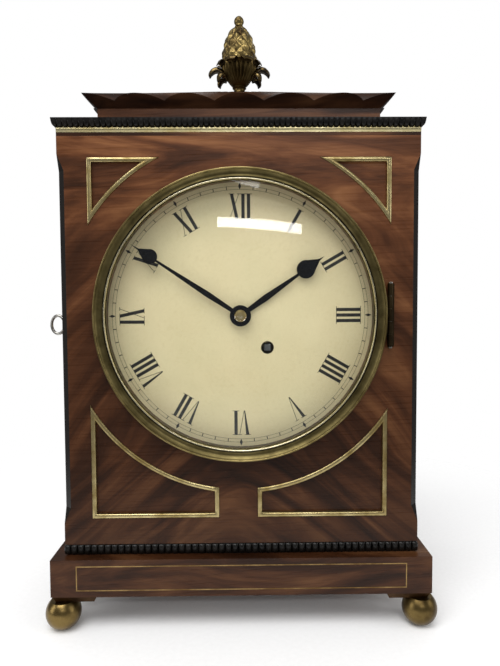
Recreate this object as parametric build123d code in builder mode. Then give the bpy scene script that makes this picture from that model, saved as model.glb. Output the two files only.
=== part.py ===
from build123d import *
import os
from math import atan2, cos, pi, radians, sin, sqrt

# A Regency bracket clock with a single fusee movement. X runs to the right as the dial is faced, Y runs
# from the dial to the back door, Z is up, and the feet stand on Z = 0 under the middle of the case body.

os.makedirs("parts", exist_ok=True)

# Case body
body_width = 268.5
body_depth = 150.0
front_thick = 14.0
side_thick = 12.0
back_thick = 14.0
base_height = 28.2
base_overhang = 8.8
bead_height = 8.3
bead_proud = 1.0
bead_round = 2.2
moulding_thick = 6.0
body_height = 305.5
band_height = 2.6
strip_height = 3.6
strip_proud = 0.5
strip_depth = 1.2
cant_size = 5.0
cant_low_stop = 28.0
cant_high_stop = 25.0
cant_stop_length = 12.0
cant_run_out = 0.05

# Feet
ball_radius = 13.15
ball_seat_height = 22.1
ball_floor_flat = 0.5
ball_inset = 7.2
foot_plate_size = 33.0
foot_plate_thick = 4.7
foot_plate_inset = 0.8
foot_plate_chamfer = 4.0
foot_stud_radius = 3.0
foot_stud_length = 16.0

# Line inlay of the base
inlay_width = 0.8
inlay_depth = 0.5
inlay_end_inset = 19.05
inlay_margin = 4.6

# Cornice and top
cornice_height = 6.3
cornice_overhang = 3.0
cornice_rail = 12.0
plinth_end_inset = 24.45
plinth_front_inset = 24.4
plinth_height = 15.5
pad_edge_height = 8.5
pad_flare = 9.65
pad_rise = 19.0
pad_crown_width = 34.0
pad_crown_depth = 24.0
gadroon_depth = 4.2
gadroon_run_out = 0.05
gadroons_wide = 6
gadroons_deep = 3
valley_wide_share = 3.2
valley_high_share = 1.5
valley_overrun = 1.02

# Finial, measured from the crown of the pad
finial_seat_radius = 7.75
finial_seat_height = 1.6
stem_radius = 5.25
stem_height = 8.0
cup_height = 30.0
cup_radius = 15.6
cup_waist_share = 0.785
cup_waist_rise = 7.0
cup_lip = 4.0
fruit_radius = 15.0
fruit_base_height = 28.0
fruit_height = 59.1
fruit_waist_share = 0.84
fruit_waist_rise = 2.0
bud_radius = 4.15
bud_neck = 3.1
finial_height = 67.8
leaf_count = 8
leaf_collar = 0.8
leaf_width = 9.0
leaf_thick = 1.6
leaf_reach = 26.0
leaf_drop = 4.5
leaf_root_over = 1.0
leaf_arch_share = 0.62
leaf_arch_over = 0.6
leaf_curl = 6.0
leaf_under_share = 0.5
leaf_under_drop = 0.4
rod_radius = 2.0
rod_clearance = 0.3
rod_below = 4.0
rod_in_fruit = 12.0
nut_radius = 5.0
nut_height = 4.0

# Dial, bezel and glass
dial_margin = 24.0
sight_radius = 100.0
opening_margin = 2.0
dial_lap = 2.5
dial_thick = 1.5
dial_bulge = 7.0
dial_behind_board = 1.0
dial_foot_place = 50.0
dial_foot_radius = 2.0
dial_hole_clearance = 0.6
bezel_width = 8.5
bezel_depth = 8.0
bezel_gap = 0.1
sight_width = 2.6
sight_clearance = 0.05
bezel_lip = 2.0
hollow_foot_share = 0.45
hollow_slope_width = 1.2
hollow_slope_depth = 2.6
rim_foot_inset = 2.6
rim_foot_depth = 1.2
rim_crest_inset = 1.9
rim_crest_edge = 0.6
rim_side_depth = 0.8
sight_seat = 1.0
sight_edge_depth = 3.4
sight_back_depth = 4.3
sight_crest_inset = 0.8
sight_crest_depth = 2.6
sight_side_depth = 3.6
glass_clearance = 0.1
lip_clearance = 0.7
glass_thick = 2.0
glass_bulge = 12.0
glass_lap = 1.4
hinge_offset = 2.7
hinge_radius = 2.1
hinge_pin_radius = 0.9
pin_head_radius = 1.68
pin_head = 1.0
hinge_height = 47.0
hinge_knuckles = 5
knuckle_gap = 0.2
leaf_plate = 1.2
hinge_recess = 0.8
hinge_let_in = 3.2
hinge_cut_over = 1.0
case_leaf_start = 0.4
case_leaf_reach = 1.8
case_leaf_notch = 0.6
case_leaf_step = 0.2
pin_clearance = 0.05

# Corner panels and their brass frames
frame_bar = 3.4
frame_tall = 3.5
panel_sink = 2.5
frame_arc_gap = 22.5
upper_corner_side = 21.75
upper_corner_drop = 15.5
left_low_corner_side = 21.25
right_low_corner_side = 23.75
lower_corner_rise = 20.0
left_rail_end = 16.9
right_rail_end = 12.2

# Lock in the left side
lock_setback = 26.0
lock_drop = 6.6
catch_inset = 1.3
catch_rise = 5.8
slot_side = 1.9
slot_end = 0.8
lock_case_depth = 16.0
lock_case_width = 12.0
lock_case_height = 26.0
lock_wall = 1.2
key_shank_radius = 1.6
key_way_clearance = 0.5
key_stand_out = 4.6
bow_height = 16.6
bow_width = 12.4
bow_wire = 1.5
key_collar_radius = 2.4
bit_radius = 4.4
bit_width = 3.0
bit_thick = 1.6
bolt_size = 3.0
bolt_travel = 3.5
bolt_slot = 0.5
bolt_setback = 0.6
catch_thick = 2.0
catch_height = 8.0
catch_reach = 26.0
lock_clearance = 0.4
escutcheon_radius = 5.5
escutcheon_thick = 0.6

# Back door
stile_width = 30.0
door_gap = 0.4
door_thick = 11.0
door_rail = 24.0
door_glass_thick = 2.0
door_glass_lap = 4.0
door_hinge_length = 26.0
door_hinge_rise = 31.7
knob_radius = 7.0
knob_neck_radius = 3.0
knob_neck_length = 6.0
knob_thick = 5.0
knob_round = 1.8
knob_rose_radius = 5.0
knob_rose_thick = 1.4
knob_rose_gap = 0.2
turn_length = 22.0
back_rail = 22.0
door_stop = 6.0
door_knuckle = 2.4
hinge_relief = 0.3
door_leaf = 14.0
knob_inset = 12.0
turn_width = 6.0
turn_thick = 3.0

# Movement plates
plate_width = 130.0
plate_height = 150.0
plate_thick = 2.5
plate_drop = 72.0
front_plate_gap = 12.0
plate_spacing = 50.5
pillar_radius = 4.0
pillar_inset = 10.0
pillar_shoulder = 2.6
pillar_rivet = 0.6
seat_front = 4.0
seat_thick = 12.0
seat_depth = 60.0
bearer_width = 16.0

# Train: teeth, modules and where each wheel stands along Y, measured back from the front plate's inner face
running_fit = 0.05
tooth_share = 0.36
leaf_share = 0.34
wheel_addendum = 1.25
wheel_dedendum = 1.6
tooth_root_share = 1.1
tooth_tip_share = 0.3
wheel_rim_share = 0.86
wheel_hub_share = 0.3
spoke_share = 0.11
arbor_radius = 1.5
train_arbor_radius = 1.0
centre_teeth = 84
centre_module = 0.6
third_leaves = 7
great_teeth = 96
great_module = 0.614
centre_leaves = 8
third_teeth = 78
third_module = 0.5
escape_leaves = 7
escape_teeth = 30
escape_radius = 15.0
motion_teeth = 30
motion_module = 0.85
hour_teeth = 96
minute_leaves = 8
wheel_thick = 1.5
great_thick = 2.5
third_thick = 1.0
third_angle = 121.8
barrel_arbor_radius = 3.0
ratchet_radius = 8.0
ratchet_thick = 1.8
ratchet_gap = 0.4
pinion_over = 1.2
pinion_addendum = 0.9
pinion_dedendum = 1.75
escape_lean = 5.0
escape_land = 0.8
escape_root = 9.0
escape_root_share = 0.8
escape_rim_share = 0.68
escape_hub_share = 0.32
escape_cross_share = 1.5
escape_spoke_share = 0.13
escape_mesh_gap = 0.6
great_angle = -50.08
barrel_x = -36.0
barrel_drop = 35.0
barrel_radius = 25.0
barrel_cap_inset = 1.5
barrel_cap_thick = 1.0
barrel_arbor_over = 3.0
fusee_large_radius = 21.0
fusee_small_radius = 9.0
centre_wheel_place = 44.0
great_wheel_place = 36.5
third_wheel_place = 20.0
escape_wheel_place = 10.0
fusee_start = 4.0
fusee_gap = 0.6
fusee_waist_share = 0.42
fusee_collar = 2.0

# Motion work and hands, measured forward from the front plate's outer face
cannon_gap = 0.8
hour_wheel_place = 4.6
cannon_pipe_radius = 3.3
hour_pipe_radius = 4.5
hour_hand_gap = 1.6
hour_hand_length = 77.7
minute_hand_length = 98.0
hand_thick = 0.8
hand_spacing = 2.4
hour_angle = 55.0
minute_angle = 303.4
collet_radius = 4.5
winding_radius = 2.9
winding_square = 4.6
winding_hole_radius = 4.95
winding_tip_gap = 1.0
minute_angle_place = 225.0
minute_stud = 7.5
stud_radius = 0.7
collet_tall = 3.8
arbor_tip = 1.2
hour_pear_at = 60.7
hour_pear_radius = 6.95
minute_pear_at = 80.9
minute_pear_radius = 5.7
hour_boss = 7.0
minute_boss = 8.0
hour_hand_half = 2.5
minute_hand_half = 2.2
stem_boss_share = 0.6
stem_wide_place = 0.3
stem_pear_share = 0.3
pear_shoulder_share = 0.95
pear_shoulder_rise = 0.3
point_share = 0.12
point_rise = 1.75
collet_bevel = 1.4

# Pendulum
crutch_gap = 2.0
crutch_thick = 1.5
crutch_length = 45.0
crutch_half = 1.2
crutch_fork = 2.0
crutch_over = 2.5
crutch_clearance = 0.4
anchor_top = 3.8
anchor_shoulder = (14.0, -5.0)
anchor_crook = (8.5, -4.8)
anchor_under = -3.0
pallet_thick = 2.0
cock_rise = 6.0
cock_half = 9.0
cock_tall = 6.0
cock_over = 4.0
cock_slot_front = 4.5
cock_foot = 2.5
spring_slot = 0.9
spring_length = 8.0
spring_half = 0.15
spring_half_depth = 3.0
spring_root = 3.0
spring_over = 2.0
ferrule_half = 2.5
ferrule_half_depth = 3.4
ferrule_tall = 5.0
hanger_half = 3.5
hanger_gap = 0.5
hanger_tall = 3.5
pallet_height = 21.2
pallet_clearance = 1.2
pendulum_gap = 8.0
bob_rise = 35.5
pendulum_rod_radius = 1.5
bob_radius = 20.0
bob_thick = 9.0
bob_bevel = 3.6
rating_nut_radius = 4.5
rating_nut_height = 4.0
rating_nut_gap = 0.3
rod_end = 1.0

# Places that follow from the sizes above
base_bottom = ball_seat_height + foot_plate_thick
base_top = base_bottom + base_height
body_bottom = base_top + bead_height
body_top = body_bottom + body_height
strip_bottom = body_top + band_height
cornice_bottom = strip_bottom + strip_height
cornice_top = cornice_bottom + cornice_height
pad_bottom = cornice_top + plinth_height
pad_edge = pad_bottom + pad_edge_height
pad_crown = pad_edge + pad_rise
half_width = body_width / 2
front_y = -body_depth / 2
back_y = body_depth / 2
base_front = front_y - base_overhang
base_half = half_width + base_overhang
board_back = front_y + front_thick
bezel_radius = sight_radius + bezel_width
opening_radius = sight_radius + opening_margin
dial_radius = opening_radius + dial_lap
sight_outer = sight_radius + sight_width
glass_radius = sight_radius + glass_lap
dial_height = body_top - dial_margin - bezel_radius
dial_back = board_back + dial_behind_board + dial_thick
front_plate_y = dial_back + front_plate_gap
plate_inner = front_plate_y + plate_thick
back_plate_y = plate_inner + plate_spacing
movement_back = back_plate_y + plate_thick
bezel_back = front_y - bezel_gap
bezel_front = bezel_back - bezel_depth
hinge_x = bezel_radius + hinge_offset
hinge_y = bezel_back - bezel_depth / 2
frame_arc_radius = bezel_radius + frame_arc_gap
upper_corner_x = half_width - upper_corner_side
upper_corner_z = body_top - upper_corner_drop
left_low_corner_x = half_width - left_low_corner_side
right_low_corner_x = half_width - right_low_corner_side
lower_corner_z = body_bottom + lower_corner_rise
lock_y = front_y + lock_setback
lock_height = dial_height - lock_drop
plate_low = dial_height - plate_drop
plinth_width = body_width - 2 * plinth_end_inset
plinth_depth = body_depth - 2 * plinth_front_inset
inlay_half_length = base_half - inlay_end_inset
door_hinge_lows = (body_bottom + door_hinge_rise, body_top - door_hinge_rise - door_hinge_length)


def save(made, name):
    made.part.label = name
    export_step(made.part, f"parts/{name}.step")


def facing(y):
    """A drawing plane at depth y that extrudes backwards; its own x runs against X, and its y is up."""
    return Plane(origin=(0, y, 0), x_dir=(-1, 0, 0), z_dir=(0, 1, 0))


def block(low, high, mode=Mode.ADD):
    """A box between two corners, added to the piece being made or cut from it."""
    with BuildSketch(Plane.XY.offset(low[2])) as footprint:
        with Locations(((low[0] + high[0]) / 2, (low[1] + high[1]) / 2)):
            Rectangle(high[0] - low[0], high[1] - low[1])
    extrude(footprint.sketch, amount=high[2] - low[2], mode=mode)


def cut_block(low, high):
    block(low, high, Mode.SUBTRACT)


def disc(x, z, radius, y_from, y_to, mode=Mode.ADD):
    """A round pin or hole along Y, centred at x and z."""
    with BuildSketch(facing(y_from)) as section:
        with Locations((-x, z)):
            Circle(radius)
    extrude(section.sketch, amount=y_to - y_from, mode=mode)


def tube(x, z, outer, inner, y_from, y_to):
    with BuildSketch(facing(y_from)) as section:
        with Locations((-x, z)):
            Circle(outer)
            Circle(inner, mode=Mode.SUBTRACT)
    extrude(section.sketch, amount=y_to - y_from)


def polar(radius, angle):
    return (radius * cos(radians(angle)), radius * sin(radians(angle)))


def toothed(
    x,
    z,
    teeth,
    module,
    share,
    turn,
    y_from,
    thick,
    spokes=0,
    addendum=wheel_addendum,
    dedendum=wheel_dedendum,
):
    """A wheel or pinion with ogival teeth. One tooth points along the angle turn, from +X towards +Z."""
    pitch = teeth * module / 2
    root = pitch - dedendum * module
    tip = pitch + addendum * module
    half = 180 / teeth * share
    outline = [(root, tooth_root_share), (pitch, 1), (tip, tooth_tip_share)]
    points = []
    for n in range(teeth):
        mid = turn + 360 / teeth * n
        for way, flank in ((-1, outline), (1, reversed(outline))):
            for radius, side in flank:
                px, pz = polar(radius, mid + half * side * way)
                points.append((-px, pz))
    centred = facing(y_from).shift_origin(Vector(x, y_from, z))
    with BuildSketch(centred) as wheel:
        with BuildLine() as rim:
            Polyline(points, close=True)
        make_face(rim.edges())
        if spokes:
            with BuildSketch(mode=Mode.PRIVATE) as opening:
                Circle(root * wheel_rim_share)
                Circle(root * wheel_hub_share, mode=Mode.SUBTRACT)
                for n in range(spokes):
                    with Locations(Rotation(0, 0, 360 / spokes * n)):
                        Rectangle(
                            root, root * spoke_share, align=(Align.MIN, Align.CENTER), mode=Mode.SUBTRACT
                        )
            add(opening.sketch, mode=Mode.SUBTRACT)
    extrude(wheel.sketch, amount=thick)


# Feet
foot_places = []
for side in (-1, 1):
    foot_places.append((side * (base_half - ball_inset), base_front + ball_inset))
    foot_places.append((side * (base_half - ball_inset), back_y - ball_inset))

with BuildPart() as ball_feet:
    flat_radius = sqrt(ball_radius**2 - (ball_radius - ball_floor_flat) ** 2)
    ball_middle = ball_radius - ball_floor_flat
    seat_radius = sqrt(ball_radius**2 - (ball_seat_height - ball_middle) ** 2)
    for place in foot_places:
        with BuildSketch(Plane.XZ.offset(-place[1])):
            with BuildLine():
                Line((place[0], 0), (place[0] + flat_radius, 0))
                ThreePointArc(
                    (place[0] + flat_radius, 0),
                    (place[0] + ball_radius, ball_middle),
                    (place[0] + seat_radius, ball_seat_height),
                )
                Polyline(
                    (place[0] + seat_radius, ball_seat_height),
                    (place[0] + foot_stud_radius, ball_seat_height),
                    (place[0] + foot_stud_radius, ball_seat_height + foot_stud_length),
                    (place[0], ball_seat_height + foot_stud_length),
                    (place[0], 0),
                )
            make_face()
        revolve(axis=Axis((place[0], place[1], 0), (0, 0, 1)))
save(ball_feet, "ball_feet")

with BuildPart() as foot_plates:
    plate_reach = foot_plate_size / 2 + foot_plate_inset
    for side in (-1, 1):
        for mid_y in (base_front + plate_reach, back_y - plate_reach):
            with BuildSketch(Plane.XY.offset(ball_seat_height)):
                with Locations((side * (base_half - plate_reach), mid_y)):
                    Rectangle(foot_plate_size - foot_plate_chamfer, foot_plate_size - foot_plate_chamfer)
            with BuildSketch(Plane.XY.offset(base_bottom)):
                with Locations((side * (base_half - plate_reach), mid_y)):
                    Rectangle(foot_plate_size, foot_plate_size)
            loft()
    for place in foot_places:
        with BuildSketch(Plane.XY.offset(ball_seat_height)):
            with Locations(place):
                Circle(foot_stud_radius)
        extrude(amount=foot_plate_thick, mode=Mode.SUBTRACT)
save(foot_plates, "foot_plates")

# Base with its line inlay
inlay_low = base_bottom + inlay_margin
inlay_high = base_top - inlay_margin


def inlay_outline():
    with Locations((0, (inlay_low + inlay_high) / 2)):
        Rectangle(2 * inlay_half_length, inlay_high - inlay_low)
        Rectangle(
            2 * (inlay_half_length - inlay_width),
            inlay_high - inlay_low - 2 * inlay_width,
            mode=Mode.SUBTRACT,
        )


with BuildPart() as base_plinth:
    block((-base_half, base_front, base_bottom), (base_half, back_y, base_top))
    with BuildSketch(facing(base_front)):
        inlay_outline()
    extrude(amount=inlay_depth, mode=Mode.SUBTRACT)
    for place in foot_places:
        with BuildSketch(Plane.XY.offset(base_bottom)):
            with Locations(place):
                Circle(foot_stud_radius)
        extrude(amount=foot_stud_length - foot_plate_thick, mode=Mode.SUBTRACT)
save(base_plinth, "base_plinth")

with BuildPart() as base_inlay:
    with BuildSketch(facing(base_front)):
        inlay_outline()
    extrude(amount=inlay_depth)
save(base_inlay, "base_inlay")

# Bottom board and the bead moulding on its front and two ends
moulding_front = front_y - bead_proud
moulding_half = half_width + bead_proud
with BuildPart() as base_board:
    block(
        (-(moulding_half - moulding_thick), moulding_front + moulding_thick, base_top),
        (moulding_half - moulding_thick, back_y, body_bottom),
    )
save(base_board, "base_board")

with BuildPart() as bead_moulding:
    for low_x, high_x, low_y, high_y in (
        (-moulding_half, moulding_half, moulding_front, moulding_front + moulding_thick),
        (-moulding_half, moulding_thick - moulding_half, moulding_front, back_y),
        (moulding_half - moulding_thick, moulding_half, moulding_front, back_y),
    ):
        block((low_x, low_y, base_top), (high_x, high_y, body_bottom))
    outer = bead_moulding.edges().filter_by(GeomType.LINE)
    front_edges = outer.filter_by(Axis.X).filter_by(lambda e: e.center().Y < moulding_front + 0.01)
    end_edges = outer.filter_by(Axis.Y).filter_by(lambda e: abs(e.center().X) > moulding_half - 0.01)
    chamfer(front_edges + end_edges, bead_round)
save(bead_moulding, "bead_moulding")


# Front board
def panel_outline(side, corner_x, corner_z, low_end, inset):
    """A corner panel's outline, drawn in by inset; its curved side runs round the dial. side is 1 on the
    right, and the drawing plane's own x runs against X."""
    radius = frame_arc_radius + inset
    x_out = corner_x - inset
    upper = corner_z > dial_height
    z_out = corner_z - inset if upper else corner_z + inset
    rise = z_out - dial_height
    turn = 1 if upper else -1
    top_x = sqrt(radius**2 - rise**2) if abs(rise) < radius else 0
    end_x = max(top_x, low_end + inset)
    end_z = dial_height + turn * sqrt(radius**2 - end_x**2)
    side_z = dial_height + turn * sqrt(radius**2 - x_out**2)
    mid = (atan2(end_z - dial_height, end_x) + atan2(side_z - dial_height, x_out)) / 2
    flat = [(end_x, end_z), (end_x, z_out), (x_out, z_out), (x_out, side_z)]
    if end_x <= top_x + 0.001:
        flat = [(end_x, z_out), (x_out, z_out), (x_out, side_z)]
    with BuildLine() as outline:
        Polyline([(-side * x, z) for x, z in flat])
        ThreePointArc(
            (-side * flat[-1][0], flat[-1][1]),
            (-side * radius * cos(mid), dial_height + radius * sin(mid)),
            (-side * flat[0][0], flat[0][1]),
        )
    make_face(outline.edges())


panels = {
    "upper": [(side, upper_corner_x, upper_corner_z, 0) for side in (1, -1)],
    "lower": [
        (1, right_low_corner_x, lower_corner_z, right_rail_end),
        (-1, left_low_corner_x, lower_corner_z, left_rail_end),
    ],
}

catch_x = catch_inset - bezel_radius
catch_z = lock_height + catch_rise
hinge_low = dial_height - hinge_height / 2
hinge_high = dial_height + hinge_height / 2


def cant_section(side, z, size):
    """The triangle that a cant takes off a front corner of the case at height z."""
    with BuildSketch(Plane.XY.offset(z)) as corner:
        with BuildLine() as outline:
            Polyline(
                (side * half_width, front_y),
                (side * (half_width - size), front_y),
                (side * half_width, front_y + size),
                close=True,
            )
        make_face(outline.edges())
    return corner.sketch


def cant_stop(side, deep_z, shallow_z):
    """Run the cant out to the square corner, between its full depth and the arris."""
    sections = [cant_section(side, deep_z, cant_size), cant_section(side, shallow_z, cant_run_out)]
    loft(sections, mode=Mode.SUBTRACT)


with BuildPart() as case_front:
    block((-half_width, front_y, body_bottom), (half_width, board_back, body_top))
    disc(0, dial_height, opening_radius, front_y, board_back, Mode.SUBTRACT)
    for side, corner_x, corner_z, low_end in panels["upper"] + panels["lower"]:
        with BuildSketch(facing(front_y)):
            panel_outline(side, corner_x, corner_z, low_end, 0)
        extrude(amount=panel_sink, mode=Mode.SUBTRACT)
    cut_block(
        (catch_x - catch_thick / 2 - slot_side, front_y, catch_z - catch_height / 2 - slot_end),
        (catch_x + catch_thick / 2 + slot_end, board_back, catch_z + catch_height / 2 + slot_end),
    )
    cut_block(
        (hinge_x, front_y, hinge_low),
        (hinge_x + hinge_radius + case_leaf_reach, front_y + hinge_recess, hinge_high),
    )
    cant_low = body_bottom + cant_low_stop
    cant_high = body_top - cant_high_stop
    for side in (-1, 1):
        extrude(cant_section(side, cant_low, cant_size), amount=cant_high - cant_low, mode=Mode.SUBTRACT)
        cant_stop(side, cant_low, cant_low - cant_stop_length)
        cant_stop(side, cant_high, cant_high + cant_stop_length)
save(case_front, "case_front")

# Brass frames of the corner panels
for level in ("upper", "lower"):
    with BuildPart() as panel_frames:
        for side, corner_x, corner_z, low_end in panels[level]:
            with BuildSketch(facing(front_y + panel_sink - frame_tall)):
                panel_outline(side, corner_x, corner_z, low_end, 0)
            extrude(amount=frame_tall)
            with BuildSketch(facing(front_y + panel_sink - frame_tall)):
                panel_outline(side, corner_x, corner_z, low_end, frame_bar)
            extrude(amount=frame_tall, mode=Mode.SUBTRACT)
    save(panel_frames, f"panel_frames_{level}")

# Sides
key_way_radius = key_shank_radius + key_way_clearance
for side, name in ((-1, "side_left"), (1, "side_right")):
    with BuildPart() as side_board:
        outer_x = side * half_width
        inner_x = side * (half_width - side_thick)
        block(
            (min(outer_x, inner_x), board_back, body_bottom),
            (max(outer_x, inner_x), back_y - back_thick, body_top),
        )
        if side < 0:
            with BuildSketch(Plane.YZ.offset(-half_width)):
                with Locations((lock_y, lock_height)):
                    Circle(key_way_radius)
            extrude(amount=side_thick, mode=Mode.SUBTRACT)
    save(side_board, name)

# Frame band and brass strip under the cornice
with BuildPart() as frieze:
    block((-half_width, front_y, body_top), (half_width, back_y, cornice_bottom))
    cut_block((-half_width, front_y, strip_bottom), (half_width, front_y + strip_depth, cornice_bottom))
    inner_half = half_width - side_thick
    cut_block((-inner_half, board_back, body_top), (inner_half, back_y - back_thick, cornice_bottom))
save(frieze, "frieze")

with BuildPart() as brass_strip:
    block(
        (-half_width, front_y - strip_proud, strip_bottom),
        (half_width, front_y + strip_depth, cornice_bottom),
    )
save(brass_strip, "brass_strip")

# Cornice: a board edged on three sides with a reeded ovolo
cornice_half = half_width + cornice_overhang
cornice_front = front_y - cornice_overhang
with BuildPart() as cornice_board:
    block(
        (cornice_rail - cornice_half, cornice_front + cornice_rail, cornice_bottom),
        (cornice_half - cornice_rail, back_y, cornice_top),
    )
    with BuildSketch(Plane.XY.offset(cornice_bottom)):
        Circle(rod_radius + rod_clearance)
    extrude(amount=cornice_height, mode=Mode.SUBTRACT)
save(cornice_board, "cornice_board")

with BuildPart() as cornice_moulding:
    for low_x, high_x, low_y, high_y in (
        (-cornice_half, cornice_half, cornice_front, cornice_front + cornice_rail),
        (-cornice_half, cornice_rail - cornice_half, cornice_front, back_y),
        (cornice_half - cornice_rail, cornice_half, cornice_front, back_y),
    ):
        block((low_x, low_y, cornice_bottom), (high_x, high_y, cornice_top))
    low_edges = cornice_moulding.edges().filter_by(lambda e: abs(e.center().Z - cornice_bottom) < 0.01)
    front_low = low_edges.filter_by(Axis.X).filter_by(lambda e: e.center().Y < cornice_front + 0.01)
    end_low = low_edges.filter_by(Axis.Y).filter_by(lambda e: abs(e.center().X) > cornice_half - 0.01)
    fillet(front_low + end_low, cornice_overhang)
save(cornice_moulding, "cornice_moulding")

# Top plinth and the gadrooned pad on it
with BuildPart() as top_plinth:
    plinth_half = plinth_width / 2
    block(
        (-plinth_half, -plinth_depth / 2, cornice_top),
        (plinth_half, plinth_depth / 2, pad_bottom),
    )
    with BuildSketch(Plane.XY.offset(cornice_top)):
        Circle(rod_radius + rod_clearance)
    extrude(amount=plinth_height, mode=Mode.SUBTRACT)
save(top_plinth, "top_plinth")

pad_half_x = plinth_width / 2 + pad_flare
pad_half_y = plinth_depth / 2 + pad_flare


def valley(start, end):
    """Cut the valley between two gadroons: deepest at the pad's edge, running out at the crown."""
    run = Vector(end[0] - start[0], end[1] - start[1], end[2] - start[2])
    across = Plane(origin=start, z_dir=run)
    up = across.to_local_coords(Vector(*start) + Vector(0, 0, 1))
    slope = atan2(up.Y, up.X)
    sections = []
    for place, size in ((start, gadroon_depth), (end, gadroon_run_out)):
        wide = valley_wide_share * size
        high = valley_high_share * size
        tip = (-size * cos(slope), -size * sin(slope))
        left = (high * cos(slope) - wide * sin(slope), high * sin(slope) + wide * cos(slope))
        right = (high * cos(slope) + wide * sin(slope), high * sin(slope) - wide * cos(slope))
        with BuildSketch(Plane(origin=place, x_dir=across.x_dir, z_dir=run)) as section:
            with BuildLine() as outline:
                Polyline(tip, left, right, close=True)
            make_face(outline.edges())
        sections.append(section.sketch)
    loft(sections, mode=Mode.SUBTRACT)


with BuildPart() as gadrooned_top:
    with BuildSketch(Plane.XY.offset(pad_bottom)):
        Rectangle(plinth_width, plinth_depth)
    with BuildSketch(Plane.XY.offset(pad_edge)):
        Rectangle(2 * pad_half_x, 2 * pad_half_y)
    loft()
    with BuildSketch(Plane.XY.offset(pad_edge)):
        Rectangle(2 * pad_half_x, 2 * pad_half_y)
    with BuildSketch(Plane.XY.offset(pad_crown)):
        Rectangle(pad_crown_width, pad_crown_depth)
    loft()
    for n in range(gadroons_wide):
        share = (2 * n + 1) / gadroons_wide - 1
        for way in (-1, 1):
            valley(
                (valley_overrun * share * pad_half_x, valley_overrun * way * pad_half_y, pad_edge),
                (share * pad_crown_width / 2, way * pad_crown_depth / 2, pad_crown),
            )
    for n in range(gadroons_deep):
        share = (2 * n + 1) / gadroons_deep - 1
        for way in (-1, 1):
            valley(
                (valley_overrun * way * pad_half_x, valley_overrun * share * pad_half_y, pad_edge),
                (way * pad_crown_width / 2, share * pad_crown_depth / 2, pad_crown),
            )
    with BuildSketch(Plane.XY.offset(pad_bottom)):
        Circle(rod_radius + rod_clearance)
    extrude(amount=pad_crown - pad_bottom, mode=Mode.SUBTRACT)
save(gadrooned_top, "gadrooned_top")


# Finial: a cup on a stem, curled leaves round it, and a pineapple in it, all on one threaded rod
with BuildPart() as finial_cup:
    with BuildSketch(Plane.XZ):
        with BuildLine():
            Polyline(
                (rod_radius, pad_crown),
                (finial_seat_radius, pad_crown),
                (finial_seat_radius, pad_crown + finial_seat_height),
                (stem_radius, pad_crown + finial_seat_height),
                (stem_radius, pad_crown + stem_height),
            )
            ThreePointArc(
                (stem_radius, pad_crown + stem_height),
                (cup_radius * cup_waist_share, pad_crown + stem_height + cup_waist_rise),
                (cup_radius, pad_crown + cup_height - cup_lip),
            )
            Polyline(
                (cup_radius, pad_crown + cup_height - cup_lip),
                (cup_radius, pad_crown + fruit_base_height),
                (rod_radius, pad_crown + fruit_base_height),
                (rod_radius, pad_crown),
            )
        make_face()
    revolve(axis=Axis.Z)
save(finial_cup, "finial_cup")

with BuildPart() as finial_fruit:
    bud_middle = pad_crown + finial_height - bud_radius
    bud_foot = bud_middle - sqrt(bud_radius**2 - bud_neck**2)
    with BuildSketch(Plane.XZ):
        with BuildLine():
            Line((0, pad_crown + fruit_base_height), (fruit_radius, pad_crown + fruit_base_height))
            ThreePointArc(
                (fruit_radius, pad_crown + fruit_base_height),
                (
                    fruit_radius * fruit_waist_share,
                    pad_crown + (fruit_base_height + fruit_height) / 2 + fruit_waist_rise,
                ),
                (bud_neck, pad_crown + fruit_height),
            )
            Line((bud_neck, pad_crown + fruit_height), (bud_neck, bud_foot))
            ThreePointArc(
                (bud_neck, bud_foot),
                (bud_radius, bud_middle),
                (0, pad_crown + finial_height),
            )
            Line((0, pad_crown + finial_height), (0, pad_crown + fruit_base_height))
        make_face()
    revolve(axis=Axis.Z)
    with BuildSketch(Plane.XY.offset(pad_crown + fruit_base_height)):
        Circle(rod_radius)
    extrude(amount=rod_in_fruit, mode=Mode.SUBTRACT)
save(finial_fruit, "finial_fruit")

with BuildPart() as finial_rod:
    with BuildSketch(Plane.XY.offset(cornice_bottom - nut_height - rod_below)):
        Circle(rod_radius)
    extrude(amount=pad_crown + fruit_base_height + rod_in_fruit - cornice_bottom + nut_height + rod_below)
    with BuildSketch(Plane.XY.offset(cornice_bottom - nut_height)):
        RegularPolygon(nut_radius, 6)
    extrude(amount=nut_height)
save(finial_rod, "finial_rod")

with BuildPart() as finial_leaves:
    rim_z = pad_crown + fruit_base_height - leaf_drop
    root_top = rim_z + leaf_thick + leaf_root_over
    leaf_root = cup_radius
    leaf_run = leaf_reach - leaf_root
    for n in range(leaf_count):
        turn = 360 / leaf_count * (n + 0.5)
        across = Plane(origin=(0, 0, 0), x_dir=(*polar(1, turn), 0), z_dir=(*polar(1, turn - 90), 0))
        with BuildSketch(across.offset(-leaf_width / 2)):
            with BuildLine():
                Line((leaf_root, rim_z), (leaf_root, root_top))
                ThreePointArc(
                    (leaf_root, root_top),
                    (leaf_root + leaf_run * leaf_arch_share, rim_z + leaf_thick + leaf_arch_over),
                    (leaf_reach, rim_z - leaf_curl),
                )
                ThreePointArc(
                    (leaf_reach, rim_z - leaf_curl),
                    (leaf_root + leaf_run * leaf_under_share, rim_z - leaf_under_drop),
                    (leaf_root, rim_z),
                )
            make_face()
        extrude(amount=leaf_width)
    with BuildSketch(Plane.XY.offset(rim_z)):
        Circle(cup_radius + leaf_collar)
        Circle(cup_radius, mode=Mode.SUBTRACT)
    extrude(amount=leaf_thick + leaf_root_over)
save(finial_leaves, "finial_leaves")

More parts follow.
